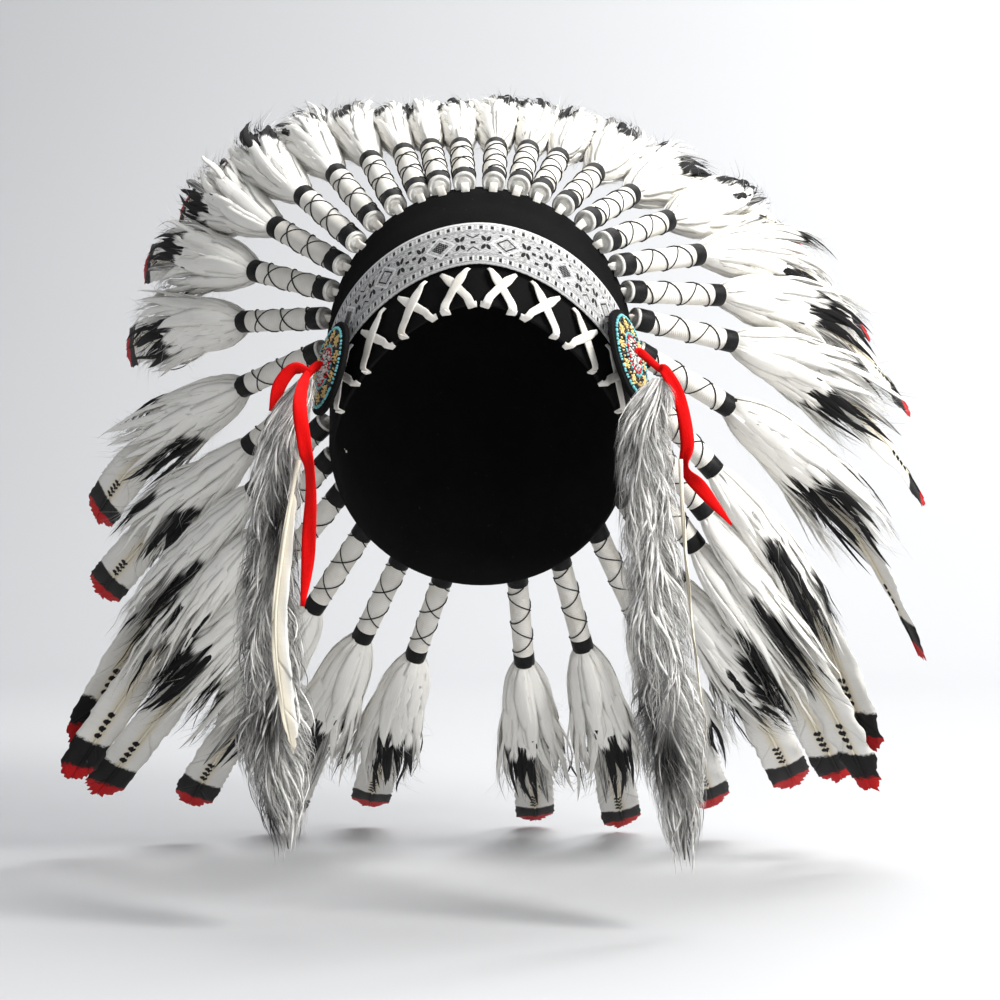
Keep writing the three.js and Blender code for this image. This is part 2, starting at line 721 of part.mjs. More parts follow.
// A quill hangs along its drop, just clear of the furthest lock that is behind it.
function quillSolid(face, side, fur) {
  const { down: share, side: shift, facing } = quillPlaces[side];
  const across = facing.clone().cross(down).normalize();
  const middleAt = (along) => furAt(face, side, share + (along * quillLength) / furLength).point;
  const top = middleAt(0).z;
  let furthest = 0;
  for (const point of facePoints(fur, 6)) {
    const along = (top - point.z) / quillLength;
    if (along < -0.02 || along > 1.02) continue;
    const from = point.sub(middleAt(along));
    if (Math.abs(from.dot(across)) < 2.5 * quillHalfWidth) furthest = Math.max(furthest, from.dot(facing));
  }
  const line = quillRows.map((row) =>
    middleAt(row.along)
      .addScaledVector(facing, furthest + pieceGap + quillWall / 2)
      .addScaledVector(across, (shift + row.sway) * quillLength),
  );
  return strip(line, line.map(() => across), quillRows.map((row) => row.wide * quillHalfWidth), quillWall);
}

// Ties

// The long tail starts at the hole in the rosette's middle, where the ribbon comes out.
function tieSolid(face, facing, side) {
  const hole = [pieceGap, pieceGap + tieKnot].map((height) => face.clone().addScaledVector(facing, height));
  const tails = Object.entries(tieTails[side]).map(([tail, points]) => {
    const start = tail === "long" ? hole : [];
    const rows = [...start.map(() => ({ wide: 0.35, twist: 0 })), ...points];
    const line = [...start, ...points.map((row) => besideFace(face, side, row, tieLength))];
    const widths = line.map((point, i) => {
      const next = line[Math.min(i + 1, line.length - 1)];
      const ahead = next.clone().sub(line[Math.max(i - 1, 0)]).normalize();
      const across = ahead.clone().cross(back).normalize();
      return across.applyAxisAngle(ahead, rows[i].twist * degrees);
    });
    return strip(line, widths, rows.map((row) => row.wide * tieHalfWidth), tieWall);
  });
  return joined(tails);
}

// Assembly

const headdress = new THREE.Group();
headdress.add(capBody);
const band = meshOf(browBand(), "brow_band", paint.felt);
const trim = meshOf(trimRibbon(), "trim_ribbon", paint.trim);
headdress.add(band, trim);

const crosses = ["left", "right"].flatMap((side) =>
  laceTurns.map((turn, i) =>
    meshOf(laceCross(sideSign(side) * turn), `lace_cross_${side}_${i + 1}`, paint.leather),
  ),
);
crosses.forEach((cross) => headdress.add(cross));

for (const side of ["left", "right"]) {
  const { facing } = rosettePlace(side);
  const centre = rosetteCentre(side, [capBody, band, trim, ...crosses]);
  const face = rosetteFace(centre, facing);
  const fur = meshOf(furSolid(face, side), `fur_drop_${side}`, paint.fur);
  headdress.add(meshOf(rosetteSolid(centre, facing), `rosette_${side}`, paint.beads));
  headdress.add(fur);
  headdress.add(meshOf(quillSolid(face, side, fur), `quill_${side}`, paint.quill));
  headdress.add(meshOf(tieSolid(face, facing, side), `tie_ribbon_${side}`, paint.tie));
}

for (const line of featherLines) {
  const name = `feather_${line.side}_${String(line.index + 1).padStart(2, "0")}`;
  headdress.add(meshOf(featherSolid(line), name, paint.feather));
}

export default headdress;
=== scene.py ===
import math

import bpy
import numpy as np
from mathutils import Matrix, Vector
from mathutils.bvhtree import BVHTree


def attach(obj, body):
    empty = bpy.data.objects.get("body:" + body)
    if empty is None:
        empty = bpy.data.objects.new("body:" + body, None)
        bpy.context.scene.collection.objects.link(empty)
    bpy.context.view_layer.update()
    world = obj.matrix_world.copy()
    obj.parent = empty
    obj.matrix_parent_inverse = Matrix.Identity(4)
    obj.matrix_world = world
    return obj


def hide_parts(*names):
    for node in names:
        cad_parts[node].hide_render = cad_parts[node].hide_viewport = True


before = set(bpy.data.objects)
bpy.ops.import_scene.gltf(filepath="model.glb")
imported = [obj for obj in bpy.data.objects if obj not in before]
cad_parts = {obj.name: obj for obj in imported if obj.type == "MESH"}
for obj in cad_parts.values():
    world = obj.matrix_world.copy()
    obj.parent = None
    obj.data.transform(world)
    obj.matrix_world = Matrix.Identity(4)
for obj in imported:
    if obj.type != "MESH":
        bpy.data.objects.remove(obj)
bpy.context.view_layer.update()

# Lengths are metres and angles degrees. The wearer looks along -Y, and left is the wearer's left, +X.
# The tables repeat the part's own, so that each piece lies on the solid that it replaces.
cap = {"halfLength": 0.1185, "halfWidth": 0.09, "depth": 0.149, "tilt": 44, "wall": 0.0025}
capSections = [
    {"rise": 0, "middle": 0, "half": 1, "width": 1, "round": 1.6},
    {"rise": 0.134, "middle": 0.101, "half": 0.987, "width": 1, "round": 1.75},
    {"rise": 0.295, "middle": 0.207, "half": 0.958, "width": 1, "round": 1.9},
    {"rise": 0.47, "middle": 0.266, "half": 0.9, "width": 0.97, "round": 2},
    {"rise": 0.658, "middle": 0.283, "half": 0.764, "width": 0.85, "round": 2},
    {"rise": 0.82, "middle": 0.275, "half": 0.585, "width": 0.66, "round": 2},
    {"rise": 0.94, "middle": 0.27, "half": 0.35, "width": 0.4, "round": 2},
]
stationColumns = ["at", "turn", "rise", "clock", "sweep", "droop", "pull"]
stationRows = {
    "left": [
        (0, 5, 0.5, 2, 25, 0.3, 0.6),
        (0.125, 22, 0.495, 22, 27, 0.1, 1.8),
        (0.25, 40, 0.475, 51, 32, 0.2, 1),
        (0.375, 58, 0.445, 77, 47, 0.74, 0.75),
        (0.5, 77, 0.4, 100, 59, 0.9, 0.9),
        (0.5625, 87, 0.365, 119, 66, 1.1, 0.55),
        (0.625, 95, 0.3, 137, 74, 0.88, 0.8),
        (0.6875, 102.5, 0.225, 141, 75, 0.4, 0.62),
        (0.8125, 118, 0.11, 146, 72, 0.1, 1.4),
        (1, 167, 0.055, 175, 58, 0.2, 2.1),
    ],
    "right": [
        (0, 5, 0.5, 6, 25, 0.5, 0.3),
        (0.125, 22, 0.495, 19, 29, 0.32, 1.7),
        (0.25, 40, 0.475, 36, 38, 0.34, 1.6),
        (0.375, 58, 0.445, 57, 46, 0.24, 1.9),
        (0.5, 77, 0.4, 88, 48, 0.1, 1.9),
        (0.5625, 87, 0.365, 110, 51, 0.5, 1.1),
        (0.625, 95, 0.3, 126, 56, 0.1, 0.85),
        (0.6875, 102.5, 0.225, 131, 60, 0.6, 0.15),
        (0.8125, 118, 0.11, 139, 66, 0, 0.3),
        (1, 167, 0.055, 160, 58, 0.2, 2.1),
    ],
}
stations = {side: [dict(zip(stationColumns, row)) for row in rows] for side, rows in stationRows.items()}
furColumns = ["down", "out", "front", "wide"]
furRows = {
    "left": [
        (0.055, 0.046, 0.036, 0.34),
        (0.1, 0.03, 0.085, 0.6),
        (0.17, 0.01, 0.12, 0.72),
        (0.5, 0.03, 0.125, 0.82),
        (0.8, 0.065, 0.12, 0.95),
        (1.05, 0.093, 0.12, 0.35),
    ],
    "right": [
        (0.027, 0.028, 0.037, 0.3),
        (0.085, 0.05, 0.085, 0.5),
        (0.17, 0.08, 0.11, 0.62),
        (0.5, 0.1, 0.12, 0.85),
        (0.8, 0.085, 0.12, 1),
        (1.0, 0.06, 0.12, 0.35),
    ],
}
furTables = {side: [dict(zip(furColumns, row)) for row in rows] for side, rows in furRows.items()}

forward = np.array([0, -math.cos(math.radians(cap["tilt"])), math.sin(math.radians(cap["tilt"]))])
upward = np.array([0, math.sin(math.radians(cap["tilt"])), math.cos(math.radians(cap["tilt"]))])
sideways = np.array([1.0, 0, 0])
down = np.array([0, 0, -1.0])
back = np.array([0, 1.0, 0])
signs = {"left": 1, "right": -1}

cameraPlace = {"point": (0.012, -1.2952, -0.0277), "lens": 77.87, "sensor": 36}


# Numbers and vectors

def unit(vector):
    vector = np.asarray(vector, float)
    return vector / np.linalg.norm(vector, axis=-1, keepdims=True)


# A value read from a table's column by a smooth curve through its rows.
def fromTable(rows, key, at, column):
    last = len(rows) - 1
    i = 0
    while i < last - 1 and at > rows[i + 1][key]:
        i += 1

    def slope(k):
        a, b = rows[max(k - 1, 0)], rows[min(k + 1, last)]
        return (b[column] - a[column]) / (b[key] - a[key])

    span = rows[i + 1][key] - rows[i][key]
    t = min(max((at - rows[i][key]) / span, 0), 1)
    start = (2 * t**3 - 3 * t**2 + 1) * rows[i][column] + (t**3 - 2 * t**2 + t) * span * slope(i)
    end = (3 * t**2 - 2 * t**3) * rows[i + 1][column] + (t**3 - t**2) * span * slope(i + 1)
    return start + end


def smoothStep(low, high, value):
    t = np.clip((value - low) / (high - low), 0, 1)
    return t * t * (3 - 2 * t)


# A smooth line through a few points: more points, with the rows' other numbers carried along.
def smoothLine(rows, steps):
    rows = np.asarray(rows, float)
    padded = np.vstack([2 * rows[0] - rows[1], rows, 2 * rows[-1] - rows[-2]])
    found = []
    for i in range(1, len(padded) - 2):
        a, b, c, d = padded[i - 1:i + 3]
        for t in np.linspace(0, 1, steps, endpoint=False):
            square, cube = 2 * a - 5 * b + 4 * c - d, 3 * b - a - 3 * c + d
            found.append(0.5 * (2 * b + (c - a) * t + square * t**2 + cube * t**3))
    found.append(rows[-1])
    return np.array(found)


# The part of a vector that is square to each way, as a unit vector.
def squareTo(way, vector):
    return unit(vector - (way @ vector)[..., None] * way)


# How far along a line each of its points is.
def reachOf(line):
    return np.concatenate([[0], np.cumsum(np.linalg.norm(np.diff(line, axis=0), axis=1))])


def turnBetween(a, b):
    return (a - b + np.pi) % (2 * np.pi) - np.pi


def ringAngles(sides):
    return 2 * np.pi * np.arange(sides) / sides


# Meshes

# A smooth mesh object from arrays. The faces come as groups of triangles or quads, tones holds each point's
# colour, and uv where it lies along its fibres.
def meshPiece(name, points, groups, material, tones=None, uv=None):
    mesh = bpy.data.meshes.new(name)
    points = np.asarray(points, float)
    corners = np.concatenate([faces.ravel() for faces in groups])
    counts = np.concatenate([np.full(len(faces), faces.shape[1]) for faces in groups])
    starts = np.concatenate([[0], np.cumsum(counts)[:-1]])
    mesh.vertices.add(len(points))
    mesh.vertices.foreach_set("co", points.ravel())
    mesh.loops.add(len(corners))
    mesh.loops.foreach_set("vertex_index", corners.astype(np.int32))
    mesh.polygons.add(len(counts))
    mesh.polygons.foreach_set("loop_start", starts.astype(np.int32))
    mesh.polygons.foreach_set("use_smooth", np.full(len(counts), True))
    if tones is not None:
        colours = np.ones((len(points), 4))
        colours[:, :3] = tones
        attribute = mesh.attributes.new("tone", "FLOAT_COLOR", "POINT")
        attribute.data.foreach_set("color", colours.ravel())
    if uv is not None:
        layer = mesh.uv_layers.new(name="lay")
        layer.data.foreach_set("uv", np.asarray(uv, float)[corners].ravel())
    mesh.update(calc_edges=True)
    mesh.validate()
    piece = bpy.data.objects.new(name, mesh)
    bpy.context.scene.collection.objects.link(piece)
    mesh.materials.append(material)
    return piece


# Rows of points joined by quads. Rings close on themselves, sheets don't.
def gridFaces(rows, columns, closed=False, first=0):
    across = columns if closed else columns - 1
    r, k = np.meshgrid(np.arange(rows - 1), np.arange(across), indexing="ij")
    a = first + r * columns + k
    b = first + r * columns + (k + 1) % columns
    return np.stack([a, b, b + columns, a + columns], axis=-1).reshape(-1, 4)


# The triangles that close both ends of a tube whose last ring starts at the point with the given number.
def endFans(sides, last):
    k = np.arange(1, sides - 1)
    near = np.stack([np.zeros(sides - 2, int), k + 1, k], axis=1)
    far = np.stack([np.full(sides - 2, last), last + k, last + k + 1], axis=1)
    return np.concatenate([near, far])


# A tube along a line, closed to a point at each end, with the radius given at each point.
def tubeShape(line, radii, sides):
    way = unit(np.gradient(line, axis=0))
    across = [unit(np.cross(way[0], [0.31, 0.2, 0.93]))]
    for step in way[1:]:
        across.append(squareTo(step, across[-1]))
    across = np.array(across)
    lift = np.cross(way, across)
    angles = ringAngles(sides)[None, :, None]
    ring = np.cos(angles) * across[:, None] + np.sin(angles) * lift[:, None]
    points = (line[:, None] + ring * radii[:, None, None]).reshape(-1, 3)
    points = np.vstack([points, line[:1], line[-1:]])
    k = np.arange(sides)
    after = (k + 1) % sides
    ends = len(line) * sides
    caps = np.concatenate([
        np.stack([np.full(sides, ends), after, k], axis=1),
        np.stack([np.full(sides, ends + 1), ends - sides + k, ends - sides + after], axis=1),
    ])
    return points, [gridFaces(len(line), sides, True), caps]


hairRows = 3  # points along a hair: three corners at each, but one at its tip
hairCorners = 3 * (hairRows - 1) + 1
hairSteps = np.linspace(0, 1, hairRows)
hairRidge = 0.6
layShift = 0.037  # sets each tongue's streaks apart from the next one's


# The faces of one shape, repeated for many of it whose points lie one after another.
def repeated(count, each, first, *groups):
    offset = first + each * np.arange(count)[:, None, None]
    return [(faces + offset).reshape(-1, faces.shape[1]) for faces in groups]


# Many thin tapering hairs: flat on the side that looks the given way, with a ridge behind.
def hairShape(lines, radii, ways, first):
    hairs, steps, _ = lines.shape
    ahead = unit(np.gradient(lines, axis=1) + 1e-12)
    across = unit(np.cross(ways, ahead) + 1e-12)
    size = (radii[:, None] * np.linspace(1, 0.35, steps - 1))[:, :, None]
    start, side, under = lines[:, :-1], across[:, :-1] * size, unit(ways)[:, :-1] * size * hairRidge
    body = np.stack([start + side, start - side, start - under], axis=2).reshape(hairs, -1, 3)
    points = np.concatenate([body, lines[:, -1:]], axis=1)
    quads = gridFaces(steps - 1, 3, True)
    tip = hairCorners - 1
    a, b, c = range(tip - 3, tip)
    tris = np.array([[a, b, tip], [b, c, tip], [c, a, tip], [0, 2, 1]])
    return points.reshape(-1, 3), repeated(hairs, hairCorners, first, quads, tris)


# Many tapering tongues, each a flat oval with its half width given at each of its few points. The third
# result is their lay: how far along each corner is, given for each point, and how far across.
def tongueShape(lines, widths, ways, flat, sides, first, along):
    count, steps, _ = lines.shape
    ahead = unit(np.gradient(lines, axis=1) + 1e-12)
    across = unit(np.cross(ways, ahead) + 1e-12)[:, :, None]
    out = np.cross(ahead, across[:, :, 0])[:, :, None]
    turns = ringAngles(sides)[None, None, :, None]
    size = widths[:, :, None, None]
    points = lines[:, :, None] + size * (np.cos(turns) * across + flat * np.sin(turns) * out)
    each = steps * sides
    faces = repeated(count, each, first, gridFaces(steps, sides, True), endFans(sides, each - sides))
    beside = size[..., 0] * np.cos(turns[..., 0]) + np.arange(count)[:, None, None] * layShift
    lay = np.stack([np.broadcast_to(along[:, :, None], beside.shape), beside], axis=-1)
    return points.reshape(-1, 3), faces, lay.reshape(-1, 2)


# Values along each hair, such as tones, spread over the corners that hairShape makes.
def perHairPoint(values):
    body = np.repeat(values[:, :-1], 3, axis=1)
    return np.concatenate([body, values[:, -1:]], axis=1).reshape(-1, values.shape[2])


def apply(piece, kind, **settings):
    modifier = piece.modifiers.new(kind, kind)
    for key, value in settings.items():
        setattr(modifier, key, value)
    select(piece)
    bpy.ops.object.modifier_apply(modifier=modifier.name)


def walled(piece, thickness, offset=0):
    apply(piece, "SOLIDIFY", thickness=thickness, offset=offset, use_rim=True)


def bevelled(piece, width, segments, degrees=50):
    limit = math.radians(degrees)
    apply(piece, "BEVEL", width=width, segments=segments, limit_method="ANGLE", angle_limit=limit)


# In edit mode, with only those faces selected for which wanted(face) holds.
def editFaces(piece, wanted):
    bpy.ops.object.mode_set(mode="EDIT")
    bpy.ops.mesh.select_all(action="DESELECT")
    bpy.ops.object.mode_set(mode="OBJECT")
    for face in piece.data.polygons:
        face.select = wanted(face)
    bpy.ops.object.mode_set(mode="EDIT")


# A cylinder that stands on the origin, as the active object.
def standingCylinder(sides, radius, length):
    middle = (0, 0, length / 2)
    bpy.ops.mesh.primitive_cylinder_add(vertices=sides, radius=radius, depth=length, location=middle)
    bpy.ops.object.transform_apply(location=True)
    return bpy.context.object


def select(*pieces):
    bpy.ops.object.select_all(action="DESELECT")
    for piece in pieces:
        piece.select_set(True)
    bpy.context.view_layer.objects.active = pieces[0]


def join(pieces):
    select(*pieces)
    bpy.ops.object.join()
    return pieces[0]


# A copy with its own mesh, moved by a matrix inside the mesh.
def copyOf(piece, name, matrix):
    copy = piece.copy()
    copy.data = piece.data.copy()
    copy.name = name
    copy.data.name = name
    copy.data.transform(matrix)
    bpy.context.scene.collection.objects.link(copy)
    return copy


def placed(across, lift, way, point):
    matrix = Matrix.Identity(4)
    for column, axis in enumerate((across, lift, way, point)):
        for row in range(3):
            matrix[row][column] = axis[row]
    return matrix


def finished(piece, node):
    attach(piece, "root")
    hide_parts(node)
    return piece


# Materials

class Nodes:
    def __init__(self, name):
        self.material = bpy.data.materials.new(name)
        self.material.use_nodes = True
        self.tree = self.material.node_tree
        self.shader = self.tree.nodes["Principled BSDF"]

    def add(self, kind, **settings):
        node = self.tree.nodes.new(kind)
        for key, value in settings.items():
            setattr(node, key, value)
        return node

    def link(self, value, socket):
        if isinstance(value, (int, float, tuple)):
            socket.default_value = value
        else:
            self.tree.links.new(value, socket)

    def objectPlace(self):
        return self.add("ShaderNodeTexCoord").outputs["Object"]

    def layPlace(self):
        return self.add("ShaderNodeUVMap", uv_map="lay").outputs["UV"]

    def split(self, vector):
        node = self.add("ShaderNodeSeparateXYZ")
        self.link(vector, node.inputs[0])
        return node.outputs[0], node.outputs[1], node.outputs[2]

    def tone(self):
        return self.add("ShaderNodeAttribute", attribute_name="tone").outputs["Color"]

    def math(self, operation, a, b=0.0):
        node = self.add("ShaderNodeMath", operation=operation)
        self.link(a, node.inputs[0])
        self.link(b, node.inputs[1])
        return node.outputs[0]

    def plus(self, a, b):
        return self.math("ADD", a, b)

    def minus(self, a, b):
        return self.math("SUBTRACT", a, b)

    def by(self, a, b):
        return self.math("MULTIPLY", a, b)

    def over(self, a, b):
        return self.math("DIVIDE", a, b)

    def absolute(self, a):
        return self.math("ABSOLUTE", a)

    def square(self, a):
        return self.math("POWER", a, 2.0)

    def wave(self, value, pitch):
        return self.math("SINE", self.by(value, pitch))

    def stretched(self, vector, scale):
        node = self.add("ShaderNodeMapping")
        self.link(vector, node.inputs["Vector"])
        node.inputs["Scale"].default_value = scale
        return node.outputs[0]

    def noise(self, vector, scale, detail=3.0, rough=0.5):
        node = self.add("ShaderNodeTexNoise")
        self.link(vector, node.inputs["Vector"])
        node.inputs["Scale"].default_value = scale
        node.inputs["Detail"].default_value = detail
        node.inputs["Roughness"].default_value = rough
        return node.outputs["Fac"]

    def streaks(self, scale, detail, rough):  # noise drawn out along the lay
        return self.noise(self.stretched(self.layPlace(), scale), 1, detail, rough)

    def between(self, value, low, high):  # 0 below low, 1 above high
        node = self.add("ShaderNodeMapRange", interpolation_type="SMOOTHSTEP")
        self.link(value, node.inputs[0])
        node.inputs[1].default_value = low
        node.inputs[2].default_value = high
        return node.outputs[0]

    def inside(self, value, half, soft):  # 1 where |value| is under half
        return self.minus(1.0, self.between(self.absolute(value), half - soft, half + soft))

    def repeat(self, value, pitch, start=0.0):  # value from the nearest multiple of pitch
        shifted = self.plus(self.minus(value, start), pitch / 2)
        return self.minus(self.math("FLOORED_MODULO", shifted, pitch), pitch / 2)

    def mix(self, share, a, b):
        node = self.add("ShaderNodeMix", data_type="RGBA")
        self.link(share, node.inputs[0])
        self.link(a, node.inputs[6])
        self.link(b, node.inputs[7])
        return node.outputs[2]

    def times(self, colour, value):
        node = self.add("ShaderNodeMix", data_type="RGBA", blend_type="MULTIPLY")
        node.inputs[0].default_value = 1
        self.link(colour, node.inputs[6])
        self.link(value, node.inputs[7])
        return node.outputs[2]

    def finish(self, colour, rough, bump=None, depth=0.0005, strength=1.0, sheen=0.0, coat=0.0, shine=0.25):
        self.link(colour, self.shader.inputs["Base Color"])
        self.link(rough, self.shader.inputs["Roughness"])
        self.shader.inputs["Specular IOR Level"].default_value = shine
        self.shader.inputs["Sheen Weight"].default_value = sheen
        self.shader.inputs["Coat Weight"].default_value = coat
        if bump is not None:
            node = self.add("ShaderNodeBump")
            node.inputs["Distance"].default_value = depth
            node.inputs["Strength"].default_value = strength
            self.link(bump, node.inputs["Height"])
            self.link(node.outputs[0], self.shader.inputs["Normal"])
        return self.material


def feltMaterial():
    n = Nodes("black_felt")
    place = n.objectPlace()
    pile = n.noise(place, 1400, 4, 0.7)
    patches = n.noise(place, 38, 3, 0.6)
    lint = n.between(n.noise(place, 520, 2, 0.6), 0.66, 0.8)
    worn = n.mix(patches, (0.003, 0.003, 0.0033, 1), (0.008, 0.0075, 0.0075, 1))
    colour = n.mix(n.by(lint, 0.25), worn, (0.09, 0.075, 0.07, 1))
    return n.finish(colour, 0.96, pile, 0.0006, 0.7, shine=0.12)


def laceMaterial():
    n = Nodes("white_leather")
    place = n.objectPlace()
    grain = n.noise(place, 900, 3, 0.6)
    creases = n.noise(n.stretched(place, (1, 1, 3)), 170, 3, 0.6)
    soil = n.noise(place, 60, 3, 0.6)
    colour = n.mix(n.between(soil, 0.35, 0.75), (0.84, 0.82, 0.77, 1), (0.66, 0.62, 0.55, 1))
    bump = n.plus(grain, n.by(creases, 1.5))
    return n.finish(colour, 0.55, bump, 0.0004, 0.5)


# The woven trim. Its pattern is drawn in millimetres: along the ribbon, and up from its middle line.
def trimMaterial():
    n = Nodes("woven_trim")
    along, up = [n.by(part, 1000.0) for part in n.split(n.layPlace())[:2]]
    halfUp = n.absolute(up)
    motif = {"period": 76.8, "start": 16.0, "edgePitch": 6.0, "edgeRow": 8.9}
    half, quarter = motif["period"] / 2, motif["period"] / 4

    def either(*shares):
        found = shares[0]
        for share in shares[1:]:
            found = n.math("MAXIMUM", found, share)
        return found

    def diamond(s, halfAlong, halfUpward, line=None):
        reach = n.plus(n.over(n.absolute(s), halfAlong), n.over(halfUp, halfUpward))
        if line is None:
            return n.minus(1.0, n.between(reach, 0.94, 1.04))
        return n.inside(n.minus(reach, 1.0), line, 0.05)

    def dot(s, t, halfAlong, halfUpward, atAlong, atUp):
        a = n.inside(n.minus(s, atAlong), halfAlong, 0.18)
        b = n.inside(n.minus(t, atUp), halfUpward, 0.18)
        return n.by(a, b)

    fromOutline = n.repeat(along, motif["period"], motif["start"])
    fromFilled = n.repeat(along, motif["period"], motif["start"] + half)
    fromAny = n.repeat(along, half, motif["start"])
    fromDots = n.repeat(along, motif["period"], motif["start"] + quarter)
    fromChevron = n.repeat(along, motif["period"], motif["start"] - quarter)
    fromGap = n.absolute(n.repeat(along, half, motif["start"] + quarter))

    # Leaves: two pairs of fat lobes beside each gap between the diamonds, pointed toward the middle.
    leafAlong = n.minus(n.absolute(n.minus(fromGap, 7.4)), 1.45)
    leafUp = n.minus(halfUp, 2.35)
    leaning = n.minus(leafAlong, n.by(leafUp, 0.45))
    lobe = n.plus(n.square(n.over(n.absolute(leaning), 1.25)), n.square(n.over(n.absolute(leafUp), 1.55)))
    leaf = n.minus(1.0, n.between(lobe, 0.75, 1.15))

    outline = diamond(fromOutline, 5.4, 3.3, 0.13)
    lattice = n.by(n.wave(n.plus(fromFilled, up), 2.9), n.wave(n.minus(fromFilled, up), 2.9))
    holes = n.between(lattice, 0.35, 0.6)
    filled = n.by(diamond(fromFilled, 5.4, 3.3), n.minus(1.0, n.by(holes, 0.75)))
    sideDots = dot(n.absolute(fromAny), halfUp, 0.95, 0.55, 3.4, 4.7)
    crossDots = either(
        dot(n.absolute(fromDots), halfUp, 1.3, 0.75, 2.4, 0.0),
        dot(fromDots, halfUp, 1.3, 0.7, 0.0, 4.3),
    )
    reach = n.minus(halfUp, n.plus(2.6, n.by(n.absolute(fromChevron), 0.55)))
    chevron = n.by(n.inside(reach, 0.36, 0.14), n.inside(fromChevron, 3.6, 0.2))
    middleDot = dot(fromChevron, up, 1.4, 0.7, 0.0, 0.0)
    edgeAlong = n.repeat(along, motif["edgePitch"], 1.2)
    edgeDots = dot(edgeAlong, halfUp, 0.85, 1.0, 0.0, motif["edgeRow"])
    black = either(leaf, outline, filled, sideDots, crossDots, chevron, middleDot, edgeDots)

    # Ground: heathered warp with lighter frames round the motifs and beside the edge dots.
    warp = n.streaks((420, 2600, 1), 4, 0.75)
    fleck = n.noise(n.layPlace(), 900, 2, 0.6)
    frameReach = n.plus(n.over(n.absolute(fromAny), 8.6), n.over(halfUp, 5.6))
    frameLine = n.inside(n.minus(frameReach, 1.0), 0.09, 0.04)
    light = either(
        n.by(frameLine, 0.9),
        dot(n.minus(n.absolute(edgeAlong), 1.6), halfUp, 0.5, 1.4, 0.0, motif["edgeRow"]),
        n.by(n.inside(n.minus(halfUp, 11.4), 0.5, 0.1), 0.8),
    )
    stripes = either(
        n.inside(n.minus(halfUp, 6.3), 0.28, 0.12),
        n.inside(n.minus(halfUp, 7.1), 0.16, 0.1),
        n.inside(n.minus(halfUp, 10.6), 0.16, 0.1),
    )
    heather = n.mix(n.between(warp, 0.36, 0.62), (0.15, 0.15, 0.155, 1), (0.66, 0.66, 0.655, 1))
    ground = n.mix(n.by(light, 0.75), heather, (0.78, 0.78, 0.77, 1))
    ground = n.mix(n.by(stripes, 0.45), ground, (0.13, 0.13, 0.135, 1))
    ground = n.mix(n.by(n.between(fleck, 0.6, 0.7), 0.35), ground, (0.24, 0.23, 0.23, 1))
    colour = n.mix(black, ground, (0.012, 0.011, 0.012, 1))
    ribs = n.wave(along, 9.0)
    picks = n.wave(up, 12.0)
    bump = n.plus(n.by(n.plus(ribs, picks), 0.3), n.by(black, 0.8))
    return n.finish(colour, 0.85, bump, 0.00025, 0.6, sheen=0.1)


# The tape round a feather's shaft: lay is (along, round) in metres.
def tapeMaterial():
    n = Nodes("white_tape")
    along, around, _ = n.split(n.layPlace())
    ribs = n.wave(n.plus(along, n.by(around, 0.03)), 4200.0)
    place = n.objectPlace()
    soil = n.noise(place, 55, 3, 0.6)
    threads = n.streaks((2600, 300, 1), 3, 0.6)
    colour = n.mix(n.between(soil, 0.35, 0.75), (0.78, 0.76, 0.71, 1), (0.67, 0.64, 0.57, 1))
    # Painted shade: the tape is darker in the grooves between its ribs, where the bump is low.
    colour = n.times(colour, n.mix(n.between(ribs, -1.0, -0.5), (0.86, 0.85, 0.84, 1), (1, 1, 1, 1)))
    bump = n.plus(n.by(ribs, 0.5), threads)
    return n.finish(colour, 0.6, bump, 0.00022, 0.5)


def blackTapeMaterial():
    n = Nodes("black_tape")
    along, _, _ = n.split(n.layPlace())
    ribs = n.wave(along, 5200.0)
    wear = n.noise(n.objectPlace(), 140, 4, 0.7)
    colour = n.mix(n.between(wear, 0.45, 0.8), (0.006, 0.006, 0.007, 1), (0.02, 0.0195, 0.019, 1))
    return n.finish(colour, 0.5, n.plus(n.by(ribs, 0.5), wear), 0.0002, 0.5, shine=0.16)


def threadMaterial():
    n = Nodes("black_thread")
    strands = n.noise(n.objectPlace(), 1500, 2, 0.5)
    colour = n.mix(strands, (0.006, 0.006, 0.007, 1), (0.03, 0.03, 0.03, 1))
    return n.finish(colour, 0.6, strands, 0.0002, 0.6, shine=0.15)


def discMaterial():
    n = Nodes("pearl_disc")
    place = n.objectPlace()
    cloud = n.noise(place, 260, 3, 0.6)
    scuff = n.noise(place, 900, 3, 0.7)
    colour = n.mix(n.between(cloud, 0.35, 0.7), (0.72, 0.71, 0.67, 1), (0.5, 0.48, 0.44, 1))
    return n.finish(colour, 0.32, scuff, 0.0001, 0.4, coat=0.15, shine=0.4)


# Fur takes its colours from the mesh, broken up by darker streaks along its lay.
def furMaterial():
    n = Nodes("mottled_fur")
    streak = n.streaks((60, 1700, 1), 4, 0.65)
    uneven = n.noise(n.objectPlace(), 240, 3, 0.6)
    shade = n.mix(n.between(uneven, 0.3, 0.7), (0.86, 0.85, 0.83, 1), (1, 1, 1, 1))
    colour = n.times(n.tone(), shade)
    colour = n.mix(n.by(n.between(streak, 0.54, 0.68), 0.36), colour, (0.03, 0.028, 0.027, 1))
    return n.finish(colour, 0.7, streak, 0.0003, 0.4, sheen=0.05, shine=0.12)


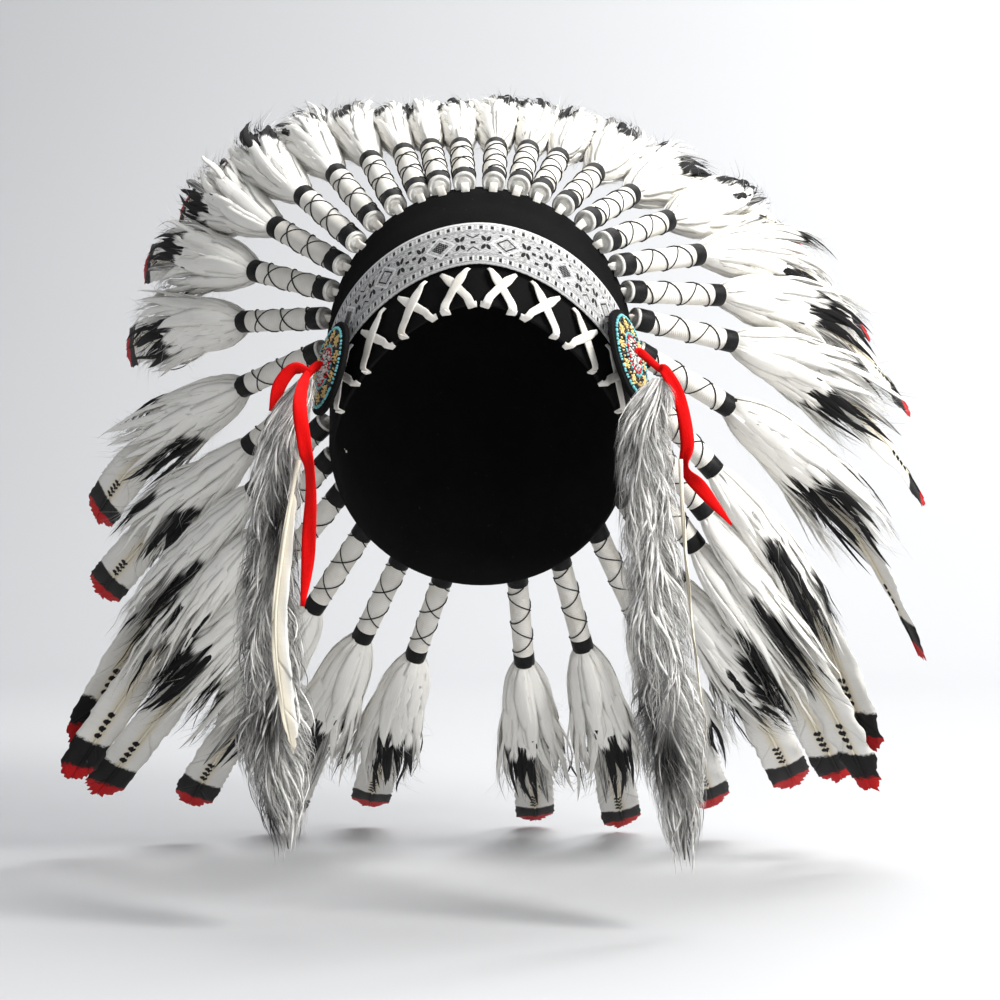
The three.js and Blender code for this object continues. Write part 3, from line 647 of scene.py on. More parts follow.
# Plume down: the mesh's tone says how black it is, and streaks along the lay break up the edge of the black.
def downMaterial():
    n = Nodes("plume_down")
    streak = n.streaks((22, 1500, 1), 4, 0.6)
    fine = n.streaks((60, 5200, 1), 2, 0.5)
    black, _, _ = n.split(n.tone())
    spread = n.by(n.minus(streak, 0.5), 1.1)
    share = n.between(n.plus(black, spread), 0.28, 0.72)
    white = n.mix(n.between(fine, 0.3, 0.7), (0.78, 0.76, 0.71, 1), (0.88, 0.867, 0.832, 1))
    colour = n.mix(share, white, (0.009, 0.0085, 0.009, 1))
    return n.finish(colour, 0.8, n.plus(streak, fine), 0.0003, 0.3, sheen=0.04, shine=0.08)


# Where a long feather's shaft lies in its pattern, beside the middle: the spots are centred on it.
shaftLay = 0.0008


# A long feather's blade: lay is (distance from the tip, distance from the shaft) in metres.
def bladeMaterial():
    n = Nodes("spotted_blade")
    fromTip, fromShaft, _ = n.split(n.layPlace())
    place = n.objectPlace()
    blur = n.by(n.minus(n.noise(place, 210, 4, 0.65), 0.5), 0.007)
    fine = n.by(n.minus(n.noise(place, 900, 3, 0.7), 0.5), 0.003)
    rough = n.plus(blur, fine)
    beside = n.absolute(fromShaft)
    barbs = n.minus(fromTip, n.by(beside, 1.73))
    barbLine = n.wave(barbs, 7200.0)
    streak = n.streaks((900, 60, 1), 3, 0.6)
    spots = {"pitch": 0.0066, "nearest": 0.05, "count": 4, "along": 0.0024, "across": 0.0027}
    away = n.minus(n.by(fromTip, -1.0), n.by(rough, 0.35))
    middle = spots["nearest"] + spots["pitch"] * (spots["count"] - 1) / 2
    near = n.repeat(away, spots["pitch"], spots["nearest"])
    row = n.inside(n.minus(away, middle), spots["pitch"] * spots["count"] / 2, 0.0003)
    offset = n.minus(fromShaft, shaftLay)
    oval = n.plus(n.square(n.over(near, spots["along"])),
                  n.square(n.over(n.absolute(offset), spots["across"])))
    spot = n.by(row, n.minus(1.0, n.between(oval, 0.7, 1.25)))
    edge = n.plus(n.plus(fromTip, rough), n.by(fromShaft, 0.18))
    dark = n.between(edge, -0.044, -0.041)
    red = n.between(n.plus(fromTip, n.by(rough, 1.8)), -0.0205, -0.0175)
    cream = n.mix(n.between(beside, 0.0015, 0.0065), (0.76, 0.7, 0.57, 1), (0.8, 0.785, 0.745, 1))
    colour = n.mix(n.by(n.between(streak, 0.5, 0.75), 0.3), cream, (0.62, 0.58, 0.5, 1))
    colour = n.mix(n.math("MAXIMUM", spot, dark), colour, (0.01, 0.009, 0.009, 1))
    colour = n.mix(red, colour, (0.5, 0.006, 0.008, 1))
    bump = n.plus(n.by(barbLine, 0.5), streak)
    return n.finish(colour, 0.62, bump, 0.00022, 0.55, sheen=0.03, shine=0.12)


def beadMaterial():
    n = Nodes("glass_beads")
    place = n.objectPlace()
    cloud = n.noise(place, 420, 2, 0.5)
    colour = n.times(n.tone(), n.mix(cloud, (0.8, 0.8, 0.8, 1), (1, 1, 1, 1)))
    return n.finish(colour, 0.22, n.noise(place, 1900, 2, 0.5), 0.00008, 0.3, coat=0.2, shine=0.4)


def ribbonMaterial():
    n = Nodes("red_ribbon")
    along, across, _ = n.split(n.layPlace())
    ribs = n.wave(along, 9000.0)
    edge = n.between(n.absolute(across), 0.0028, 0.0034)
    slubs = n.streaks((240, 2800, 1), 3, 0.6)
    colour = n.mix(n.between(slubs, 0.35, 0.75), (0.8, 0.0, 0.0, 1), (0.6, 0.0, 0.0, 1))
    colour = n.mix(n.by(edge, 0.5), colour, (0.5, 0.0, 0.0, 1))
    bump = n.plus(n.by(ribs, 0.4), n.plus(slubs, edge))
    return n.finish(colour, 0.7, bump, 0.00025, 0.6, shine=0.15)


materials = {
    "felt": feltMaterial(),
    "lace": laceMaterial(),
    "trim": trimMaterial(),
    "tape": tapeMaterial(),
    "blackTape": blackTapeMaterial(),
    "thread": threadMaterial(),
    "disc": discMaterial(),
    "down": downMaterial(),
    "fur": furMaterial(),
    "blade": bladeMaterial(),
    "bead": beadMaterial(),
    "ribbon": ribbonMaterial(),
}
print("materials made")


# Cap, band, trim and laces

def capPoint(turn, rise):
    share = rise / cap["depth"]
    c, s = math.cos(math.radians(turn)), math.sin(math.radians(turn))
    power = 2 / fromTable(capSections, "rise", share, "round") if c > 0 else 1
    along = fromTable(capSections, "rise", share, "middle")
    along += fromTable(capSections, "rise", share, "half") * math.copysign(abs(c) ** power, c)
    across = fromTable(capSections, "rise", share, "width") * math.copysign(abs(s) ** power, s)
    return forward * along * cap["halfLength"] + sideways * across * cap["halfWidth"] + upward * rise


def capNormal(turn, rise):
    around = capPoint(turn + 1, rise) - capPoint(turn - 1, rise)
    climb = capPoint(turn, rise + 0.0005) - capPoint(turn, max(rise, 0.0005) - 0.0005)
    return unit(np.cross(around, climb))


def onCap(turn, rise, lift):
    return capPoint(turn, rise) + capNormal(turn, rise) * lift


def ringRise(turn):
    return cap["depth"] * fromTable(stations["left"], "turn", abs(turn), "rise")


def makeCap():
    turns, rises = 96, np.linspace(0, 0.94 * cap["depth"], 40)
    points = [capPoint(360 * k / turns, rise) for rise in rises for k in range(turns)]
    points.append(forward * capSections[-1]["middle"] * cap["halfLength"] + upward * cap["depth"])
    k = np.arange(turns)
    top = (len(rises) - 1) * turns
    crown = np.stack([top + k, top + (k + 1) % turns, np.full(turns, len(points) - 1)], axis=1)
    piece = meshPiece("cap_felt", points, [gridFaces(len(rises), turns, True), crown], materials["felt"])
    walled(piece, cap["wall"], -1)
    bevelled(piece, 0.0008, 2)
    finished(piece, "cap")


# A plate that lies on the cap, and its length along its middle. edges(turn) gives the rises of its lower
# and upper edge, and its look may have a lip that stands off at the top.
def bentPlate(name, look, edges, material):
    rows, lip = look["rows"], look.get("lip", 0)
    points, uv, length = [], [], 0
    for i, turn in enumerate(np.linspace(-look["endTurn"], look["endTurn"], look["steps"] + 1)):
        low, high = edges(turn)
        column = []
        for rise in [low + (high - low) * r / rows for r in range(rows + 1)]:
            stand = lip * smoothStep(high - band["lipHeight"], high, rise)
            column.append(onCap(turn, rise, look["lift"] + stand))
        if i:
            length += np.linalg.norm(column[rows // 2] - points[-rows // 2 - 1])
        points.extend(column)
        uv.extend([(length, (high - low) * (r / rows - 0.5)) for r in range(rows + 1)])
    uv = np.array(uv) - [length / 2, 0]
    piece = meshPiece(name, points, [gridFaces(look["steps"] + 1, rows + 1)], material, uv=uv)
    walled(piece, look["wall"], 1)
    return piece, length


band = {"endTurn": 90, "steps": 120, "rows": 16, "lift": 0.0004, "wall": 0.0025, "least": 0.045,
        "behindRing": 0.0004, "lip": 0.0034, "lipHeight": 0.011, "bevel": 0.0006}
trim = {"endTurn": 77.1, "steps": 150, "rows": 8, "lift": 0.0033, "wall": 0.0008, "low": 0.02,
        "width": 0.024}


def makeBand():
    def edges(turn):
        return 0, max(ringRise(turn) - band["behindRing"], band["least"])

    piece, _ = bentPlate("brow_band_felt", band, edges, materials["felt"])
    bevelled(piece, band["bevel"], 2)
    finished(piece, "brow_band")


def makeTrim():
    def edges(turn):
        return trim["low"], trim["low"] + trim["width"]

    piece, length = bentPlate("trim_weave", trim, edges, materials["trim"])
    finished(piece, "trim_ribbon")


lace = {"turns": [10.5, 27.5, 44.5, 61.5], "halfSpan": 5.6, "top": 0.0183, "halfWidth": 0.0027,
        "wall": 0.0009, "lift": 0.0036, "over": 0.0009, "columns": 5, "cup": 0.0003}
laceUnder = [  # how far along, the rise, the lift and the way it looks, for the rows round the rim
    (-0.07, -0.0011, -0.0024, (1, -0.3)),
    (-0.05, -0.0016, -0.0006, (1, 0)),
    (-0.03, -0.0014, 0.0014, (1, 0.4)),
    (0.02, 0.0002, 0.0034, (0.3, 1)),
]


# A lace runs from inside the rim, round it and up over the band, and goes into the felt at its top end.
# Each row has a point and the way that the lace's face looks there.
def laceRows(turn, way, over):
    def place(t, rise, lift):
        return onCap(turn + way * lace["halfSpan"] * (2 * t - 1), rise, lift)

    normal = capNormal(turn, 0.009)
    rimDown = unit(capPoint(turn, 0) - capPoint(turn, 0.004))
    rows = [[*place(t, rise, lift), *(rimDown * low + normal * out)]
            for t, rise, lift, (low, out) in laceUnder]
    for t in np.linspace(0.1, 1, 11):
        lift = lace["lift"] + over * lace["over"] * math.sin(math.pi * min(1, max(0, 1.6 * t - 0.3)))
        lift -= 0.002 * smoothStep(0.92, 1, t)
        rows.append([*place(t, 0.001 + (lace["top"] - 0.001) * t, lift), *normal])
    return smoothLine(rows, 2)


# The lace that runs up to the right as seen from in front lies over the other on both sides.
def makeLace(side, number):
    turn = signs[side] * lace["turns"][number - 1]
    parts = []
    for way, over in ((-1, 0), (1, 1)):
        rows = laceRows(turn, way, over)
        line, normal = rows[:, :3], unit(rows[:, 3:])
        ahead = unit(np.gradient(line, axis=0))
        across = unit(np.cross(ahead, normal))
        steps, columns = len(line), lace["columns"]
        share = np.arange(steps) / (steps - 1)
        taper = (0.45 + 0.55 * smoothStep(1.0, 0.72, share)) * (0.9 + 0.1 * np.sin(share * 9 + number))
        x = np.linspace(-1, 1, columns)
        beside = lace["halfWidth"] * taper[:, None] * x
        points = line[:, None] + across[:, None] * beside[:, :, None]
        points = points - normal[:, None] * lace["cup"] * (x * x)[None, :, None]
        uv = np.stack(np.broadcast_arrays(share[:, None] * 0.02, beside), axis=-1)
        part = meshPiece(f"lace_{side}_{number}_{over}", points.reshape(-1, 3), [gridFaces(steps, columns)],
                         materials["lace"], uv=uv.reshape(-1, 2))
        walled(part, lace["wall"])
        bevelled(part, 0.0002, 1)
        parts.append(part)
    piece = join(parts)
    piece.name = f"lace_{side}_{number}"
    finished(piece, f"lace_cross_{side}_{number}")


makeCap()
makeBand()
makeTrim()
for side in signs:
    for number in range(1, 5):
        makeLace(side, number)
print("cap, band, trim and laces made")


# The feathers' middle lines

wrap = {"radius": 0.0066, "length": 0.076, "gap": 0.0016}
plume = {"length": 0.118, "halfWidth": 0.021, "halfDepth": 0.015}
blade = {"length": 0.25, "halfWidth": 0.0145}
perSide = 17
lineSteps = 104
lineReach = 0.26
roomShare = 0.39  # a feather's half width, as a share of the gap to its nearest neighbour

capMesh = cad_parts["cap"].data
capFacets = BVHTree.FromPolygons([v.co for v in capMesh.vertices], [p.vertices for p in capMesh.polygons])


def seatOn(point, normal):
    place, facing, _, _ = capFacets.ray_cast(Vector(point + normal * 0.02), Vector(-normal))
    return np.array(place), np.array(facing)


def featherLine(side, index):
    row = {c: fromTable(stations[side], "at", index / (perSide - 1), c) for c in stationColumns[1:]}
    turn, rise = signs[side] * row["turn"], cap["depth"] * row["rise"]
    clock, sweep = math.radians(row["clock"]), math.radians(row["sweep"])
    ahead = np.array([
        signs[side] * math.sin(sweep) * math.sin(clock),
        math.cos(sweep),
        math.sin(sweep) * math.cos(clock),
    ])
    seat, normal = seatOn(capPoint(turn, rise), capNormal(turn, rise))
    lean = math.sqrt(max(0, 1 - np.dot(ahead, normal) ** 2))
    base = seat + normal * (wrap["radius"] * lean + wrap["gap"])
    ringWay = unit(capPoint(turn + 1, rise) - capPoint(turn - 1, rise))
    bend = down * row["droop"] + back * row["pull"]
    distances = np.linspace(0, lineReach, lineSteps + 1)
    middles = (distances[1:] + distances[:-1]) / 2
    ways = unit(ahead + bend * (distances / blade["length"])[:, None])
    stepped = unit(ahead + bend * (middles / blade["length"])[:, None]) * (lineReach / lineSteps)
    points = np.vstack([[0, 0, 0], np.cumsum(stepped, axis=0)]) + base + ahead * wrap["length"]
    across = squareTo(ways, ringWay)
    return {"side": side, "name": f"{side}_{index + 1:02d}", "index": index, "seat": seat, "normal": normal,
            "base": base, "ahead": ahead, "ringWay": ringWay, "points": points, "ways": ways,
            "across": across, "lift": np.cross(across, ways)}


lines = [featherLine(side, index) for side in signs for index in range(perSide)]


# How much half width a feather has at each step, from points along its neighbours' lines.
def findRoom(line):
    others = np.concatenate([other["points"][:101:10] for other in lines if other is not line])
    gaps = np.linalg.norm(line["points"][:, None] - others[None], axis=2)
    return gaps.min(axis=1) * roomShare


for line in lines:
    line["room"] = findRoom(line)


leastRoom = 0.008


# Points given as (along, across, lift) are laid on a feather's bent line, narrowed to the room it has times
# the crowding. Directions, if given in the same way, are turned with them.
def onLine(line, points, halfWidth, crowd=1.0, directions=None):
    at = np.clip(points[:, 0] / lineReach * lineSteps, 0, lineSteps - 1e-6)
    before = np.minimum(points[:, :1], 0) * line["ahead"]
    i = at.astype(int)
    f = (at - i)[:, None]
    middle, across, lift, way = [line[key][i] * (1 - f) + line[key][i + 1] * f
                                 for key in ("points", "across", "lift", "ways")]
    room = line["room"][i] * (1 - f[:, 0]) + line["room"][i + 1] * f[:, 0]
    narrow = np.minimum(1, np.maximum(room * crowd, leastRoom) / halfWidth)[:, None]
    laid = middle + before + across * points[:, 1:2] * narrow + lift * points[:, 2:3]
    if directions is None:
        return laid
    return laid, way * directions[:, :1] + across * directions[:, 1:2] + lift * directions[:, 2:3]


# Wraps: modelled once, standing on the origin along +Z

wrapLook = {"sides": 28, "rim": 0.0015, "nearBand": (0.0015, 0.0115), "farBand": (0.0658, 0.0752),
            "bandRise": 0.0003, "cuts": (0.0004, 0.025, 0.038, 0.052), "endFace": 0.0004,
            "threadRadius": 0.00043, "threadSides": 5, "threadPitch": 0.0228, "crossing": 0.031,
            "threadSway": 0.55, "threadFrom": 0.0112, "threadTo": 0.0661}
wrapParts = ["tape", "blackTape", "disc", "thread", "lace"]
discRings = [(0.0009, -0.0005), (0.0009, 0.0009), (0.0006, 0), (0.0009, -0.0008), (0.0011, 0)]  # inset, sink


def makeWrapModel():
    model = standingCylinder(wrapLook["sides"], wrap["radius"], wrap["length"])
    for name in wrapParts:
        model.data.materials.append(materials[name])
    bpy.ops.object.mode_set(mode="EDIT")
    near, far, rim = wrapLook["nearBand"], wrapLook["farBand"], wrapLook["rim"]
    for height in (*near, *far, *wrapLook["cuts"]):
        bpy.ops.mesh.select_all(action="SELECT")
        bpy.ops.mesh.bisect(plane_co=(0, 0, height), plane_no=(0, 0, 1))
    bpy.ops.object.mode_set(mode="OBJECT")

    def inBand(face):
        return abs(face.normal.z) < 0.5 and any(low < face.center.z < high for low, high in (near, far))

    for face in model.data.polygons:
        if inBand(face):
            face.material_index = wrapParts.index("blackTape")
        elif face.center.z < rim:
            face.material_index = wrapParts.index("disc")
    editFaces(model, inBand)
    bpy.ops.mesh.extrude_region_shrink_fatten(TRANSFORM_OT_shrink_fatten={"value": wrapLook["bandRise"]})
    editFaces(model, lambda face: face.normal.z < -0.9 and face.center.z < 1e-6 and len(face.vertices) > 4)
    for inset, sink in discRings:
        bpy.ops.mesh.inset(thickness=inset, depth=0)
        bpy.ops.transform.translate(value=(0, 0, sink))
    bpy.ops.object.mode_set(mode="OBJECT")
    for face in model.data.polygons:
        if face.center.z < wrapLook["endFace"] or face.normal.z < -0.9 and face.center.z < rim:
            face.material_index = wrapParts.index("disc")
    bevelled(model, 0.0002, 2, 40)
    bpy.ops.object.shade_smooth_by_angle(angle=math.radians(35))
    layOnTube(model)
    return join([model, *threadPieces()])


# lay holds how far along the tube each corner is, and how far round.
def layOnTube(model):
    layer = model.data.uv_layers.get("lay") or model.data.uv_layers.new(name="lay")
    for loop in model.data.loops:
        point = model.data.vertices[loop.vertex_index].co
        layer.data[loop.index].uv = (point.z, math.atan2(point.y, point.x) * wrap["radius"])
    for other in [l for l in model.data.uv_layers if l.name != "lay"]:
        model.data.uv_layers.remove(other)


# Two threads wind opposite ways, slowly over the front and fast behind, so that they cross twice in front.
def threadPieces():
    pieces = []
    turns = np.linspace(-2.2 * np.pi, 4 * np.pi, 150)
    swayed = turns + wrapLook["threadSway"] * np.sin(turns)
    height = wrapLook["crossing"] + wrapLook["threadPitch"] / (2 * np.pi) * swayed
    kept = (height > wrapLook["threadFrom"]) & (height < wrapLook["threadTo"])
    turns, height = turns[kept][::3], height[kept][::3]
    for hand in (-1, 1):
        angle = hand * turns + np.pi / 2
        lift = wrap["radius"] + 0.0002 + (0.0003 if hand > 0 else 0)
        line = np.stack([lift * np.cos(angle), lift * np.sin(angle), height], axis=1)
        radii = np.full(len(line), wrapLook["threadRadius"])
        points, faces = tubeShape(line, radii, wrapLook["threadSides"])
        uv = np.stack([points[:, 2], np.zeros(len(points))], axis=1)
        pieces.append(meshPiece("thread", points, faces, materials["thread"], uv=uv))
    return pieces


wrapTurn = {"left": 62, "right": 0}


# The crossings face the viewer on the wearer's right, and more upward on the left.
def addWrap(model, line):
    front = squareTo(line["ahead"], -back)
    turn = math.radians(wrapTurn[line["side"]])
    front = front * math.cos(turn) + np.cross(front, line["ahead"]) * math.sin(turn)
    side = np.cross(front, line["ahead"])
    copy = copyOf(model, "wrap_" + line["name"], placed(side, front, line["ahead"], line["base"]))
    finished(copy, "feather_" + line["name"])


# The white tab that ties a wrap's end to the felt, from the disc's middle down into the cap.
tab = {"halfWidth": 0.0024, "wall": 0.0016, "columns": 4}


def addTab(line):
    along = squareTo(line["normal"], line["ahead"])
    out = -line["ahead"]
    rows = smoothLine([
        line["base"] + line["ahead"] * 0.0008,
        line["base"] + out * 0.0022 - line["normal"] * 0.0006,
        line["base"] + out * 0.0028 - line["normal"] * 0.004,
        line["seat"] - along * 0.0012 - line["normal"] * 0.0006,
    ], 4)
    across = squareTo(unit(np.gradient(rows, axis=0)), line["ringWay"])
    beside = np.linspace(-1, 1, tab["columns"]) * tab["halfWidth"]
    points = rows[:, None] + across[:, None] * beside[None, :, None]
    uv = np.stack(np.broadcast_arrays(np.arange(len(rows))[:, None] * 0.001, beside), axis=-1)
    piece = meshPiece("tab_" + line["name"], points.reshape(-1, 3), [gridFaces(len(rows), tab["columns"])],
                      materials["lace"], uv=uv.reshape(-1, 2))
    walled(piece, tab["wall"])
    bevelled(piece, 0.0003, 1)
    finished(piece, "feather_" + line["name"])


wrapModel = makeWrapModel()
for line in lines:
    addWrap(wrapModel, line)
    addTab(line)
bpy.data.objects.remove(wrapModel)
print("wraps made")


# Plumes: silky tongues of down over a soft core, with fine hairs, made in a few kinds and laid on each line

plumeOutline = [
    {"along": -0.02, "wide": 0.32, "deep": 0.42},
    {"along": 0.02, "wide": 0.46, "deep": 0.62},
    {"along": 0.08, "wide": 0.62, "deep": 0.8},
    {"along": 0.2, "wide": 0.76, "deep": 0.92},
    {"along": 0.4, "wide": 0.9, "deep": 1},
    {"along": 0.7, "wide": 1.06, "deep": 1.02},
    {"along": 1.0, "wide": 1.18, "deep": 0.95},
    {"along": 1.55, "wide": 1.2, "deep": 0.7},
]
# Tongues in layers from the wrap outward: how many, where they begin and end, and their half width.
plumeLayers = [
    {"count": 12, "from": (-0.05, 0.0), "to": (0.5, 0.75), "half": (0.0062, 0.0076), "reach": (0.88, 0.96)},
    {"count": 14, "from": (0.1, 0.22), "to": (0.7, 1.0), "half": (0.0052, 0.0068), "reach": (0.88, 0.98)},
    {"count": 16, "from": (0.24, 0.4), "to": (0.92, 1.2), "half": (0.0034, 0.005), "reach": (0.86, 1.06)},
    {"count": 20, "from": (0.38, 0.62), "to": (1.04, 1.38), "half": (0.0016, 0.0034), "reach": (0.8, 1.18)},
]
plumeLook = {"kinds": 6, "seed": 40, "steps": 8, "sides": 6, "flat": 0.22, "hairs": 690,
             "hairRadius": 0.00026, "crowd": 1.55}
outlineCurve = smoothLine([[row["along"], row["wide"], row["deep"]] for row in plumeOutline], 8)


def plumePoint(share, angle, reach):
    wide = np.interp(share, outlineCurve[:, 0], outlineCurve[:, 1]) * plume["halfWidth"] * reach
    deep = np.interp(share, outlineCurve[:, 0], outlineCurve[:, 2]) * plume["halfDepth"] * reach
    return np.stack([share * plume["length"], wide * np.cos(angle), deep * np.sin(angle)], axis=-1)


def outwardAt(points):
    return unit(np.stack([np.full(points.shape[:-1], 0.002), points[..., 1], points[..., 2] * 1.6], axis=-1))


# Each kind has one broad black patch in front, a smaller one beside it and one behind. Front is along the
# lift, and each patch has its turn, its spread and the share of the length where it begins.
def plumeKind(seed):
    rng = np.random.default_rng(seed)
    main = np.pi / 2 + rng.uniform(-0.9, 0.9)
    patches = [(main, rng.uniform(0.5, 0.8), rng.uniform(0.52, 0.62)),
               (main + rng.choice([-1, 1]) * rng.uniform(1.3, 1.8), 0.3, rng.uniform(0.6, 0.75)),
               (main + np.pi + rng.uniform(-0.6, 0.6), 0.6, 0.6)]

    def blackAt(angle, share, shift):
        found = np.zeros(share.shape)
        for at, spread, begin in patches:
            near = 1 - smoothStep(spread * 0.75, spread * 1.1, np.abs(turnBetween(angle, at)))
            found = np.maximum(found, near * smoothStep(begin - 0.06, begin + 0.1, share + shift))
        return found

    # The core is hidden except at the wrap, where it makes the plume's round shoulder.
    rings, sides = 12, 18
    shares, angles = np.repeat(np.linspace(-0.02, 0.95, rings), sides), np.tile(ringAngles(sides), rings)
    core = plumePoint(shares, angles, 0.88 * (1 - 0.95 * smoothStep(0.4, 0.95, shares)))
    coreLay = np.stack([core[:, 0], angles * 0.012], axis=1)
    coreFaces = [gridFaces(rings, sides, True), endFans(sides, (rings - 1) * sides)]

    bend = rng.choice([-1, 1]) * rng.uniform(0.15, 0.5)
    steps = np.linspace(0, 1, plumeLook["steps"])
    tongueLines, widths, blacks = [], [], []
    for layer in plumeLayers:
        count = layer["count"]
        angle = (np.arange(count) + rng.uniform(-0.35, 0.35, count)) * 2 * np.pi / count
        angle = angle + rng.uniform(0, 2 * np.pi)
        begin, finish, half, reach = [rng.uniform(*layer[key], (count, 1))
                                      for key in ("from", "to", "half", "reach")]
        share = begin + (finish - begin) * steps
        sway = (bend + rng.normal(0, 0.15, (count, 1))) * steps**2
        sway = sway + rng.normal(0, 0.05, (count, 1)) * np.sin(steps * 6)
        tipDrop = (0.32 * rng.random((count, 1)) - 0.16) * smoothStep(0.5, 1, steps)
        lift = reach * (0.84 + 0.16 * smoothStep(0, 0.4, steps)) - tipDrop
        tongueLines.append(plumePoint(share, angle[:, None] + sway, lift))
        widths.append(half * np.maximum((steps + 0.02) ** 0.5 * (1 - steps) ** 0.85 * 1.85, 0.02))
        blacks.append(blackAt(angle[:, None] + 0 * share, share, rng.normal(0, 0.1, (count, 1))))
    tongueLines, widths, blacks = [np.concatenate(part) for part in (tongueLines, widths, blacks)]
    ways = outwardAt(tongueLines)
    tongues, tongueFaces, tongueLay = tongueShape(tongueLines, widths, ways, plumeLook["flat"],
                                                  plumeLook["sides"], len(core), tongueLines[..., 0])
    black = np.concatenate([np.zeros(len(core)), np.repeat(blacks.reshape(-1), plumeLook["sides"])])

    # Fine hairs lie between the tongues and reach past their tips.
    hairs = plumeLook["hairs"]
    hairAngle = rng.uniform(0, 2 * np.pi, (hairs, 1))
    hairShare = rng.uniform(0.0, 1.0, (hairs, 1)) ** 0.7 * 1.1
    hairShare = hairShare + rng.uniform(0.14, 0.34, (hairs, 1)) * hairSteps
    hairShare = np.minimum(hairShare, 1.38 + 0.04 * hairSteps)
    hairTurn = hairAngle + (bend + rng.normal(0, 0.16, (hairs, 1))) * hairSteps**2
    flare = rng.exponential(0.1, (hairs, 1)) + 0.6 * (rng.random((hairs, 1)) < 0.22) * rng.random((hairs, 1))
    hairOut = rng.uniform(0.84, 1.0, (hairs, 1)) + flare * hairSteps**2
    hairLines = plumePoint(hairShare, hairTurn, hairOut)
    hairBlack = blackAt(hairAngle + 0 * hairShare, hairShare, rng.normal(0, 0.12, (hairs, 1)))
    hairBlack = np.where(rng.random((hairs, 1)) < 0.1, hairBlack * 0.2, hairBlack)
    radii = plumeLook["hairRadius"] * rng.uniform(0.5, 1.2, hairs)
    return {"solid": np.concatenate([core, tongues]), "faces": [*coreFaces, *tongueFaces], "black": black,
            "lay": np.concatenate([coreLay, tongueLay]), "lines": hairLines, "radii": radii,
            "hairBlack": hairBlack, "ways": outwardAt(hairLines)}


# The lift at the plume's own step tells which side looks forward, so that the black patch comes in front.
plumeStep = 30


def addPlume(line, kind, flip):
    toViewer = 1 if np.dot(line["lift"][plumeStep], -back) > 0 else -1
    turned = np.array([1, flip, toViewer])
    room = (plume["halfWidth"], plumeLook["crowd"])
    solid = onLine(line, kind["solid"] * turned, *room)
    shape = kind["lines"].shape
    hairs, ways = onLine(line, (kind["lines"] * turned).reshape(-1, 3), *room,
                         (kind["ways"] * turned).reshape(-1, 3))
    points, hairFaces = hairShape(hairs.reshape(shape), kind["radii"], ways.reshape(shape), len(solid))
    black = np.concatenate([kind["black"], perHairPoint(kind["hairBlack"][:, :, None])[:, 0]])
    hairLay = np.repeat(np.arange(len(kind["lines"]))[:, None] * [0.01, 0.0013], hairCorners, axis=0)
    faces = kind["faces"]
    if flip * toViewer < 0:
        faces = [part[:, ::-1] for part in faces]
    piece = meshPiece("plume_" + line["name"], np.concatenate([solid, points]), [*faces, *hairFaces],
                      materials["down"], np.repeat(black[:, None], 3, axis=1),
                      np.concatenate([kind["lay"], hairLay]))
    finished(piece, "feather_" + line["name"])


plumeKinds = [plumeKind(plumeLook["seed"] + k) for k in range(plumeLook["kinds"])]
for i, line in enumerate(lines):
    addPlume(line, plumeKinds[(5 * i + i // 4) % len(plumeKinds)], 1 if i % 2 else -1)
print("plumes made")


# Long feathers: a shaft with barbs on each side in a few groups that part at the edge

bladeOutline = [
    {"along": 0.1, "wide": 0.25},
    {"along": 0.3, "wide": 0.6},
    {"along": 0.55, "wide": 0.95},
    {"along": 0.8, "wide": 1},
    {"along": 1.05, "wide": 0.85},
]
bladeLook = {"kinds": 5, "seed": 70, "columns": 5, "pitch": 0.0034, "slant": 1.73, "camber": 9.0,
             "splits": 2, "ragged": 0.003, "round": 0.013, "wall": 0.0003, "shaftSteps": 34, "shaftSides": 6}


def bladeSide(rng, length, halfWidth, outline, sign, tipAt):
    starts = np.arange(0.1 * length, tipAt - 0.001, bladeLook["pitch"])
    splittable = np.arange(len(starts) // 3, len(starts) - 4)
    splitAt = np.sort(rng.choice(splittable, bladeLook["splits"], replace=False))
    starts = np.insert(starts, splitAt, starts[splitAt] - 0.00015)
    columns, across = len(starts), bladeLook["columns"]
    group = np.zeros(columns, int)
    for number, at in enumerate(splitAt):
        group[at + number + 1:] += 1
    lean = np.cumsum(rng.uniform(-0.045, -0.005, group.max() + 1))[group]
    shares, widths = [[row[key] for row in outline] for key in ("along", "wide")]
    wide = np.interp((starts + 0.6 * halfWidth) / length, shares, widths)
    wide = wide * halfWidth * (1 + rng.normal(0, 0.025, columns))
    end = tipAt + rng.uniform(-1, 1, columns) * bladeLook["ragged"] + 0.0015 * np.sin(starts * 900)
    slant = bladeLook["slant"] * (1 + lean)
    most = np.ones(columns)
    for _ in range(8):
        fitting = (end - bladeLook["round"] * most**2 - starts) / (slant * wide)
        most = 0.5 * most + 0.5 * np.clip(fitting, 0.03, 1)
    r = np.linspace(0, 1, across)[None] * most[:, None]
    x = starts[:, None] + slant[:, None] * wide[:, None] * r**1.08
    y = sign * wide[:, None] * r
    ripple = 0.0006 * np.sin(starts * 160) + 0.0004 * (group % 2)
    z = -bladeLook["camber"] * y**2 + ripple[:, None] * r
    points = np.stack([x, y, z], axis=-1).reshape(-1, 3)
    quads = []
    for j in range(columns - 1):
        apart = group[j] != group[j + 1]
        for k in range(across - 1):
            if apart and k >= 1:
                continue
            a = j * across + k
            quad = [a, a + 1, a + across + 1, a + across]
            quads.append(quad if sign < 0 else quad[::-1])
    return points, np.array(quads)


